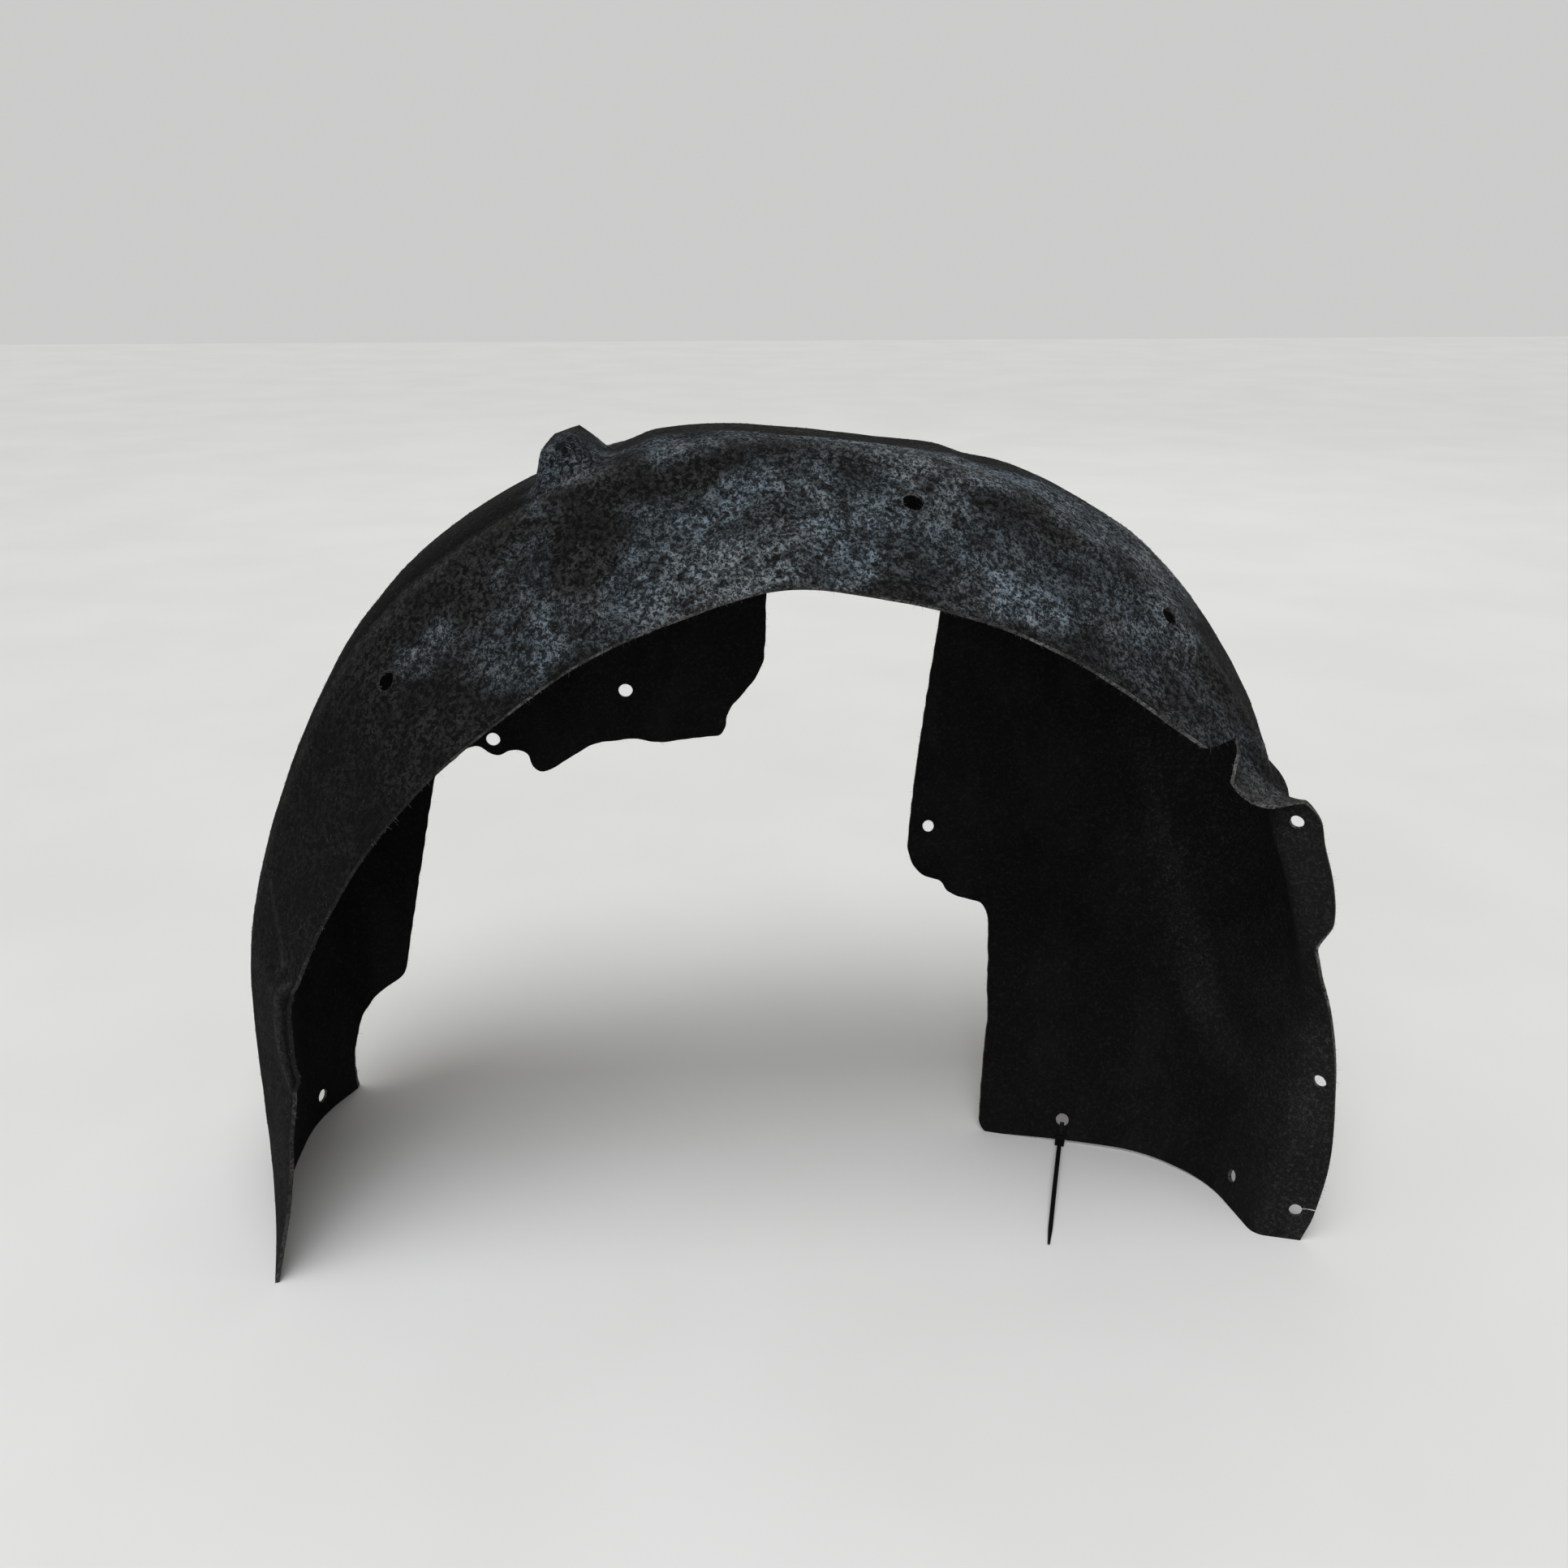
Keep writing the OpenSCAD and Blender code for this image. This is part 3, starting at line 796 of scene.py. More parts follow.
@dataclass(frozen=True)
class OuterFelt:
    """Charcoal felt whose pale blue-grey fibres show in blotches, with painted highlights and painted shade
    from the map.
    """

    dark: Colour = (0.0046, 0.0043, 0.0041)
    ground: Colour = (0.0150, 0.0160, 0.0165)
    # Colour of the painted shade behind the ridge and in the hollow.
    black: Colour = (0.0016, 0.0015, 0.0015)
    # Dull grey of the sparse pale fibres, also used for the painted highlights.
    dull: Colour = (0.215, 0.212, 0.205)
    grey: Colour = (0.225, 0.258, 0.282)
    blue: Colour = (0.205, 0.268, 0.325)
    blotch_size: float = 30.0
    spot_size: float = 17.0
    clump_size: float = 3.6
    tone_size: float = 64.0
    relief: float = 1.1
    gloss: float = 0.03

    def material(self) -> bpy.types.Material:
        """Builds the material.

        Returns:
            The material.
        """
        g = Graph("felt_outer")
        pale, painted_highlight, shade, level = g.wear_and_light()
        blotch = g.noise(self.blotch_size, 3, 0.62, 0.3).step(0.42, 0.58)
        spots = g.noise(self.spot_size, 3, 0.66, 0.4).step(0.55, 0.64)
        clump = g.noise(self.clump_size, 2, 0.6, 0.6)
        grain = clump.step(0.40, 0.60)
        fibres = g.strands(3.6, 0.115, (20, 0, 35), 1.6, 0.31)
        fibres = fibres.most(g.strands(2.9, 0.110, (70, 30, -40), 1.5, 1.73))
        # Painted shade from the map darkens the ground and the pale fibres.
        light = 1.0 - 0.60 * shade
        ground = g.blend(grain * (0.45 + 0.55 * blotch) * light * level, self.dark, self.ground)
        ground = g.blend(fibres * grain * (0.035 + 0.045 * blotch) * level * light, ground, self.dull)
        # Painted shade: the ground turns near black behind the ridge and in the hollow.
        ground = g.blend(shade * 0.90, ground, self.black)
        # Painted highlights: dull pale fibres on the ridge, the scoop, the hollow's rim and the fold.
        ground = g.blend(painted_highlight * (0.05 + 0.13 * fibres) * (0.4 + 0.6 * level), ground, self.dull)
        rich = pale * (0.40 + 0.60 * blotch) * (1.0 - 0.80 * spots)
        rich = rich * (0.04 + 0.96 * fibres * (0.14 + 0.86 * grain))
        tone = g.blend(g.noise(self.tone_size, 2, 0.5).step(0.40, 0.60), self.grey, self.blue)
        colour = g.blend(rich * light, ground, tone)
        height = clump * 0.4 + fibres * 0.35 + g.noise(1.5, 2, 0.6) * 0.3
        return g.finish(colour, 0.95 - 0.1 * fibres, height, self.relief, Specular_IOR_Level=self.gloss)


@dataclass(frozen=True)
class InnerFelt:
    """The near-black wheel side of the felt, with dust in its grain and painted light on the right panel and
    its flange.
    """

    dark: Colour = (0.0031, 0.0031, 0.0031)
    soot: Colour = (0.0070, 0.0069, 0.0069)
    # Colour of the dust in the grain, also used for the painted light on the right panel.
    dust_and_light: Colour = (0.060, 0.059, 0.058)
    cloud_size: float = 46.0
    grain_size: float = 2.8
    relief: float = 0.7
    rough: float = 0.96
    gloss: float = 0.06

    def material(self) -> bpy.types.Material:
        """Builds the material.

        Returns:
            The material.
        """
        g = Graph("felt_inner")
        pale = g.wear_and_light()[0]
        cloud = g.noise(self.cloud_size, 4, 0.6, 0.5, g.moved((1, 1, 0.5)))
        grain = g.noise(self.grain_size, 2, 0.65, 0.3)
        specks = grain.step(0.53, 0.68)
        fibres = g.strands(3.4, 0.07, (15, 40, 65), 1.8, 0.77)
        colour = g.blend(cloud.step(0.40, 0.66) * 0.6 + grain * 0.4, self.dark, self.soot)
        # Dust specks in the grain, plus painted light from the map on the right panel and flange.
        amount = specks.most(fibres * 0.5) * (0.07 + 0.06 * cloud + 0.30 * pale) + 0.10 * pale
        colour = g.blend(amount, colour, self.dust_and_light)
        height = grain * 0.7 + fibres * 0.3
        return g.finish(colour, self.rough, height, self.relief, Specular_IOR_Level=self.gloss)


@dataclass(frozen=True)
class CutFelt:
    """The cut edge, where the ends of the fibres catch the light."""

    dark: Colour = (0.0080, 0.0078, 0.0076)
    pale: Colour = (0.150, 0.147, 0.141)
    tuft_size: float = 2.6
    wear_size: float = 24.0
    relief: float = 0.5
    rough: float = 0.95
    gloss: float = 0.12

    def material(self) -> bpy.types.Material:
        """Builds the material.

        Returns:
            The material.
        """
        g = Graph("felt_cut")
        shade, level = g.wear_and_light()[2:]
        tufts = g.noise(self.tuft_size, 3, 0.7, 0.6)
        worn = g.noise(self.wear_size, 3, 0.6).step(0.38, 0.62)
        # Painted shade from the map darkens the cut edge in the hollow, behind the ridge and on the flange.
        amount = tufts.step(0.36, 0.62) * (0.30 + 0.70 * worn) * (1.0 - 0.95 * shade) * (level * level)
        colour = g.blend(amount, self.dark, self.pale)
        return g.finish(colour, self.rough, tufts, self.relief, Specular_IOR_Level=self.gloss)


@dataclass(frozen=True)
class Fuzz:
    """Loose fibres that stand out of the felt."""

    dark: Colour = (0.012, 0.0125, 0.013)
    pale: Colour = (0.26, 0.29, 0.32)
    tint_size: float = 9.0
    rough: float = 0.9
    gloss: float = 0.15

    def material(self) -> bpy.types.Material:
        """Builds the material.

        Returns:
            The material.
        """
        g = Graph("felt_fuzz")
        pale = g.wear_and_light()[0]
        tint = g.noise(self.tint_size, 2, 0.6).step(0.30, 0.62)
        colour = g.blend(tint * (0.12 + 0.88 * pale), self.dark, self.pale)
        return g.finish(colour, self.rough, Specular_IOR_Level=self.gloss)


@dataclass(frozen=True)
class BlackNylon:
    """Moulded black nylon with light scuffs."""

    body: Colour = (0.0022, 0.0022, 0.0024)
    scuff: Colour = (0.0070, 0.0070, 0.0072)
    smear_size: float = 6.0
    grain_size: float = 0.8
    relief: float = 0.03
    gloss: float = 0.10

    def material(self) -> bpy.types.Material:
        """Builds the material.

        Returns:
            The material.
        """
        g = Graph("tie_nylon")
        smear = g.noise(self.smear_size, 3, 0.6, 0.8)
        grain = g.noise(self.grain_size, 2, 0.5)
        colour = g.blend(smear.step(0.52, 0.75) * 0.6, self.body, self.scuff)
        return g.finish(colour, 0.58 + 0.2 * smear, grain, self.relief, Specular_IOR_Level=self.gloss)


@dataclass(frozen=True)
class PaleFloor:
    """A plain pale board."""

    board: Colour = (0.665, 0.675, 0.670)
    shade: Colour = (0.640, 0.648, 0.640)
    cloud_size: float = 340.0
    rough: float = 0.85
    gloss: float = 0.08

    def material(self) -> bpy.types.Material:
        """Builds the material.

        Returns:
            The material.
        """
        g = Graph("floor_board")
        colour = g.blend(g.noise(self.cloud_size, 3, 0.5).step(0.3, 0.7), self.board, self.shade)
        return g.finish(colour, self.rough, Specular_IOR_Level=self.gloss)


# Pieces ---------------------------------------------------------------------------------------------


class Side(Enum):
    """The finishes of the sheet, by their number on its mesh."""

    OUTER = 0
    WHEEL = 1
    CUT = 2


def new_object(name: str, data: bpy.types.ID) -> bpy.types.Object:
    """Links an object to the scene.

    Args:
        name: Name of the object.
        data: Its mesh, light or camera.

    Returns:
        The object.
    """
    thing = bpy.data.objects.new(name, data)
    bpy.context.scene.collection.objects.link(thing)
    return thing


def mesh_of(name: str, points: Sequence[Vector], faces: Sequence[Sequence[int]]) -> bpy.types.Mesh:
    """Makes a mesh.

    Args:
        name: Name of the mesh.
        points: Its points in metres.
        faces: Its faces.

    Returns:
        The mesh.
    """
    mesh = bpy.data.meshes.new(name)
    mesh.from_pydata([tuple(p) for p in points], [], faces)
    mesh.update()
    return mesh


def paint(mesh: bpy.types.Mesh, values: list[float]) -> None:
    """Stores the map of pale, painted light and grey at the corners of a mesh's faces, as four numbers each."""
    layer = mesh.color_attributes.new(WEAR_AND_LIGHT, "FLOAT_COLOR", "CORNER")
    layer.data.foreach_set("color", values)


def facings(grid: list[list[Vector]]) -> list[list[Vector]]:
    """Outward normals of a grid, level at its first and last column.

    Args:
        grid: Columns of points.

    Returns:
        Columns of unit vectors.
    """
    columns, rows = len(grid), len(grid[0])
    out = []
    for i in range(columns):
        low, high = grid[max(0, i - 1)], grid[min(columns - 1, i + 1)]
        line = []
        for j in range(rows):
            along = grid[i][min(rows - 1, j + 1)] - grid[i][max(0, j - 1)]
            n = (high[j] - low[j]).cross(along)
            if i in (0, columns - 1):
                n.z = 0.0
            line.append(n.normalized())
        out.append(line)
    return out


@dataclass
class FeltSheet:
    """The moulded felt sheet, trimmed, notched, torn and drilled."""

    form: SheetForm = field(default_factory=SheetForm)
    fineness: Fineness = field(default_factory=Fineness)
    band_hole: float = 7.5
    clip_hole: float = 6.0
    right_clip_hole: float = 5.0
    foot_hole: float = 6.0
    screw_hole: float = 5.0
    tie_hole: float = 5.5
    drill_length: float = 36.0
    drill_sides: int = 40
    drill_sway: float = 0.22
    drill_wave: float = 30.0
    edge_round: float = 9.0
    edge_sway: float = 0.7
    notch_sway: float = 0.5
    sway_step: float = 3.0
    sway_size: float = 9.0
    sway_most: int = 160
    tear_reach: float = 18.0
    tear_slant: float = -0.6
    tear_halves: Triple = (0.3136, 0.3724, 0.588)
    tear_bend: float = 0.9
    tear_bend_at: float = 0.45
    tear_past: float = 6.0
    arch_height: float = 3.0
    arch_half: float = 84.0
    arch_inset: float = 30.0
    arch_steps: int = 28
    below: float = 12.0
    calm_height: float = 40.0
    sharp_angle: float = 38.0

    def __post_init__(self) -> None:
        """Names the spots of the holes and the middle of the foot's arch."""
        end, foot = self.form.end, self.form.foot
        self.arch_middle = self.form.corner.at(end) - self.arch_inset
        self.flange = (Spot(148.6, Stretch.BAND, 15), Spot(180.7, Stretch.BAND, 12))
        self.torn = Spot(end - 3.5, Stretch.BAND, 14)
        self.clips = (Spot(58, Stretch.WALL, 198), Spot(35.7, Stretch.WALL, 139))
        self.right_clip = Spot(140, Stretch.WALL, 282)
        self.left_foot = Spot(2.9 - foot, Stretch.WALL, 8)
        self.right_foot = Spot(end - 3.2, Stretch.SHELF, 42)
        self.tie = Spot(end - 2.5, Stretch.WALL, 75)

    def blank(self, materials: Sequence[bpy.types.Material], wear_and_light: WearAndLightMap) -> bpy.types.Object:
        """The untrimmed sheet, closed all round.

        Args:
            materials: Finishes of the outer face, the inner face and the cut edge.
            wear_and_light: Where the felt is pale, and where highlights and shade are painted on it.

        Returns:
            The object.
        """
        form, fine = self.form, self.fineness
        stations = fine.stations(form.foot)
        plain = [[form.place(a, q[0], q[1]) for q in form.section(a, fine.straight, fine.bend)]
                 for a in stations]
        columns, rows = len(plain), len(plain[0])
        facing = facings(plain)
        outer = [[plain[i][j] + facing[i][j] * form.lift(stations[i], plain[i][j]) for j in range(rows)]
                 for i in range(columns)]
        facing = facings(outer)
        for i in range(columns):
            for j in range(rows):
                p = outer[i][j]
                calm = min(1.0, p.z / self.calm_height)
                outer[i][j] = p + facing[i][j] * form.hand(p) * calm
        inner = [[outer[i][j] - facing[i][j] * form.thickness for j in range(rows)] for i in range(columns)]
        points = [form.metres(p) for grid in (outer, inner) for line in grid for p in line]
        skin = columns * rows
        faces: list[tuple[int, ...]] = []
        finish: list[int] = []

        def put(side: Side, *corners: int) -> None:
            """Adds one face with a finish."""
            faces.append(corners)
            finish.append(side.value)

        for i in range(columns - 1):
            a, d = i * rows, (i + 1) * rows
            for j in range(rows - 1):
                put(Side.OUTER, a + j, a + j + 1, d + j + 1, d + j)
                put(Side.WHEEL, skin + a + j, skin + d + j, skin + d + j + 1, skin + a + j + 1)
            put(Side.CUT, a, d, skin + d, skin + a)
            put(Side.CUT, a + rows - 1, skin + a + rows - 1, skin + d + rows - 1, d + rows - 1)
        last = (columns - 1) * rows
        for j in range(rows - 1):
            put(Side.CUT, j, skin + j, skin + j + 1, j + 1)
            put(Side.CUT, last + j, last + j + 1, skin + last + j + 1, skin + last + j)
        mesh = mesh_of("felt_sheet", points, faces)
        for material in materials:
            mesh.materials.append(material)
        mesh.polygons.foreach_set("material_index", finish)
        values = [read(a, p) for read in (wear_and_light.at, wear_and_light.within)
                  for a, line in zip(stations, outer) for p in line]
        paint(mesh, [v for loop in mesh.loops for v in values[loop.vertex_index]])
        return new_object("felt_sheet", mesh)

    def prism(self, name: str, outline: Sequence[Pair], start: float, end: float) -> bpy.types.Object:
        """A cutter seen along the wheel axis.

        Args:
            name: Name of the cutter.
            outline: Its outline as X and Z.
            start: Depth at which it starts.
            end: Depth at which it ends.

        Returns:
            The cutter.
        """
        n = len(outline)
        points = [self.form.metres(Vector((x, y, z))) for y in (start, end) for x, z in outline]
        faces = [tuple(range(n)), tuple(range(2 * n - 1, n - 1, -1))]
        faces += [(k, n + k, n + (k + 1) % n, (k + 1) % n) for k in range(n)]
        return self.closed(name, points, faces)

    def closed(self, name: str, points: Sequence[Vector], faces: Sequence[Sequence[int]]) -> bpy.types.Object:
        """A cutter with its faces turned outward.

        Args:
            name: Name of the cutter.
            points: Its points in metres.
            faces: Its faces.

        Returns:
            The cutter.
        """
        mesh = mesh_of(name, points, faces)
        shape = bmesh.new()
        shape.from_mesh(mesh)
        bmesh.ops.recalc_face_normals(shape, faces=shape.faces)
        bmesh.ops.triangulate(shape, faces=[f for f in shape.faces if len(f.verts) > 4])
        shape.to_mesh(mesh)
        shape.free()
        return new_object(name, mesh)

    def seen(self, station: float, radius: float) -> Pair:
        """A point of an outline seen along the wheel axis, as X and Z."""
        p = self.form.place(station, radius, 0)
        return p.x, p.z

    def rounded(self, outline: Sequence[Pair]) -> list[Pair]:
        """An outline with its corners rounded.

        Args:
            outline: The outline.

        Returns:
            The rounded outline.
        """
        p = [Vector(q) for q in outline]
        line = [p[0]]
        for i in range(1, len(p) - 1):
            back, ahead = p[i - 1] - p[i], p[i + 1] - p[i]
            d = min(self.edge_round, 0.45 * back.length, 0.45 * ahead.length)
            into, leave = p[i] + back.normalized() * d, p[i] + ahead.normalized() * d
            line += [bow(into, p[i], leave, k / 6) for k in range(7)]
        line.append(p[-1])
        return [(q[0], q[1]) for q in line]

    def frayed(self, outline: Sequence[Pair], amount: float) -> list[Pair]:
        """An outline with the small waviness of a cut in felt.

        Args:
            outline: The outline.
            amount: How far it wanders, in millimetres.

        Returns:
            The outline in short steps.
        """
        line: list[Pair] = []
        p = [Vector(q) for q in outline]
        for i in range(len(p)):
            q = p[(i + 1) % len(p)]
            run = q - p[i]
            steps = max(1, min(self.sway_most, round(run.length / self.sway_step)))
            side = Vector((-run.y, run.x)).normalized()
            for k in range(steps):
                at = p[i] + run * (k / steps)
                sway = amount * noise.noise(Vector((at.x / self.sway_size, at.y / self.sway_size, 3.1)))
                line.append(tuple(at + side * sway))
        return line

    def wall_trim(self) -> list[Pair]:
        """The inner edge of the wall, from the left foot to the right foot.

        Returns:
            Its outline as X and Z.
        """
        foot, end, top = self.form.foot, self.form.end, self.form.tread_top
        left = [(-foot - 2, 70), (-14, 73), (-8.6, 83), (-5.6, 98), (-4, 122), (26.6, 122), (29.6, 132),
                (32, 134), (33.8, 144), (33.4, 155), (34, 163), (36.2, 169), (37.2, 181), (35.2, 193),
                (35.4, 202), (37.6, 208), (44.4, 217), (46.6, 220), (53.7, 239), (57, 254), (68.2, 269),
                (72, 273), (74, 266), (75, 257), (76.6, 250), (80, 241), (83.4, 227), (84.8, 217),
                (85.6, 200), (86.3, 159), (88, 86)]
        drop = top - 136
        right = [(111, 86), (114, drop - 183), (137.5, drop - 5), (141, drop + 4), (146, drop + 9),
                 (150.5, drop + 6), (154.5, drop - 7), (157.5, drop - 7), (160.5, drop - 14),
                 (164.5, drop - 34), (168, drop - 36), (187, drop - 31), (end - 5, drop - 23),
                 (end - 0.6, drop - 20), (end + 0.6, drop - 30), (end + 3, drop - 30)]
        return self.rounded([self.seen(a, top - r) for a, r in left + right])

    def drill(self, where: Spot, radius: float, axis: Vector | None = None) -> list[Vector]:
        """The rings of one drill.

        Args:
            where: The hole.
            radius: Its radius.
            axis: Its direction, where it isn't the sheet's normal.

        Returns:
            Two rings of points in millimetres.
        """
        n = axis or self.form.normal(where)
        middle = self.form.spot(where)
        side = n.orthogonal().normalized()
        up = n.cross(side)
        rings = []
        for half in (-0.5, 0.5):
            for k in range(self.drill_sides):
                t = 2 * math.pi * k / self.drill_sides
                place = Vector((middle.x / self.drill_wave + math.cos(t), math.sin(t),
                                middle.z / self.drill_wave))
                r = radius + self.drill_sway * noise.noise(place)
                out = side * math.cos(t) + up * math.sin(t)
                rings.append(middle + n * (half * self.drill_length) + out * r)
        return rings

    def drills(self) -> bpy.types.Object:
        """All the round holes in one cutter.

        Returns:
            The cutter.
        """
        form = self.form
        line = (form.spot(self.flange[1]) - form.spot(self.flange[0])).normalized()
        mean = (form.normal(self.flange[0]) + form.normal(self.flange[1])).normalized()
        axis = (mean - line * mean.dot(line)).normalized()
        rings = [self.drill(s, self.band_hole) for s in form.pads]
        rings += [self.drill(s, self.screw_hole, axis) for s in self.flange]
        rings += [self.drill(s, self.clip_hole) for s in self.clips]
        rings += [self.drill(self.right_clip, self.right_clip_hole), self.drill(self.torn, self.screw_hole),
                  self.drill(self.left_foot, self.foot_hole),
                  self.drill(self.right_foot, self.screw_hole), self.drill(self.tie, self.tie_hole)]
        points: list[Vector] = []
        faces: list[tuple[int, ...]] = []
        for ring in rings:
            base, n = len(points), len(ring) // 2
            points += [form.metres(p) for p in ring]
            faces += [tuple(base + k for k in range(n)), tuple(base + 2 * n - 1 - k for k in range(n))]
            faces += [(base + k, base + n + k, base + n + (k + 1) % n, base + (k + 1) % n) for k in range(n)]
        return self.closed("drills", points, faces)

    def tear(self) -> bpy.types.Object:
        """The tear from the lowest flange hole out to the free edge.

        Returns:
            The cutter.
        """
        form = self.form
        start, stop = form.spot(self.torn), form.spot(Spot(self.torn.station, Stretch.BAND, -self.tear_past))
        run = (stop - start).normalized()
        across = Vector((-run.y, run.x, 0)).normalized()
        if across.y < 0:
            across = -across
        across.z = self.tear_slant
        middle = start.lerp(stop, self.tear_bend_at) + Vector((0, 0, self.tear_bend))
        points = []
        for p, half in zip((start, middle, stop), self.tear_halves):
            for side in (-self.tear_reach, self.tear_reach):
                for up in (-half, half):
                    points.append(form.metres(p + across * side + Vector((0, 0, up))))
        faces = [(0, 1, 3, 2), (8, 10, 11, 9)]
        for b in (0, 4):
            faces += [(b, b + 4, b + 5, b + 1), (b + 1, b + 5, b + 7, b + 3), (b + 3, b + 7, b + 6, b + 2),
                      (b + 2, b + 6, b + 4, b)]
        return self.closed("tear", points, faces)

    def arch(self, off: float) -> float:
        """Height of the right foot's flat arch, at a distance from its middle."""
        radius = (self.arch_half ** 2 + self.arch_height ** 2) / (2 * self.arch_height)
        return self.arch_height - radius + math.sqrt(radius * radius - off * off)

    def foot_arch(self) -> bpy.types.Object:
        """The long flat arch under the edge of the right foot.

        Returns:
            The cutter.
        """
        middle, half, steps = self.arch_middle, self.arch_half, self.arch_steps
        outline = [(middle - half, -self.below)]
        outline += [(middle + x, self.arch(x)) for x in [half * (2 * k / steps - 1) for k in range(steps + 1)]]
        outline.append((middle + half, -self.below))
        return self.prism("foot_arch", outline, -5, self.form.wall_depth)

    def cutters(self) -> list[bpy.types.Object]:
        """Everything that is cut out of the blank.

        Returns:
            The cutters in order.
        """
        form = self.form
        shoulder = [(132.8, -10), (139, 23), (140, 16), (139.9, -1), (141, -36)]
        wall = self.frayed(self.wall_trim(), self.edge_sway)
        notch = self.frayed([self.seen(a, form.lip_radius + r) for a, r in shoulder], self.notch_sway)
        return [self.prism("wall_trim", wall, 140, form.wall_depth + 40),
                self.prism("shoulder_notch", notch, -20, 60),
                self.drills(), self.tear(), self.foot_arch()]

    def carve(self, sheet: bpy.types.Object, cutter: bpy.types.Object, cut: bpy.types.Material) -> None:
        """Cuts one shape out of the sheet.

        Args:
            sheet: The sheet.
            cutter: The shape, which is deleted.
            cut: Finish of the new edge.
        """
        cutter.data.materials.append(cut)
        paint(cutter.data, [0.0, 0.0, 0.0, 1.0] * len(cutter.data.loops))
        modifier = sheet.modifiers.new("Cut", "BOOLEAN")
        modifier.operation = "DIFFERENCE"
        modifier.solver = "EXACT"
        modifier.material_mode = "TRANSFER"
        modifier.object = cutter
        bpy.context.view_layer.update()
        made = bpy.data.meshes.new_from_object(sheet.evaluated_get(bpy.context.evaluated_depsgraph_get()))
        sheet.modifiers.clear()
        old = sheet.data
        sheet.data = made
        bpy.data.meshes.remove(old)
        bpy.data.objects.remove(cutter)

    def build(self, materials: Sequence[bpy.types.Material], wear_and_light: WearAndLightMap) -> bpy.types.Object:
        """The finished sheet.

        Args:
            materials: Finishes of the outer face, the inner face and the cut edge.
            wear_and_light: Where the felt is pale, and where highlights and shade are painted on it.

        Returns:
            The object.
        """
        sheet = self.blank(materials, wear_and_light)
        for cutter in self.cutters():
            self.carve(sheet, cutter, materials[Side.CUT.value])
        sheet.data.name = "felt_sheet"
        sheet.data.shade_smooth()
        sheet.data.set_sharp_from_angle(angle=math.radians(self.sharp_angle))
        return sheet


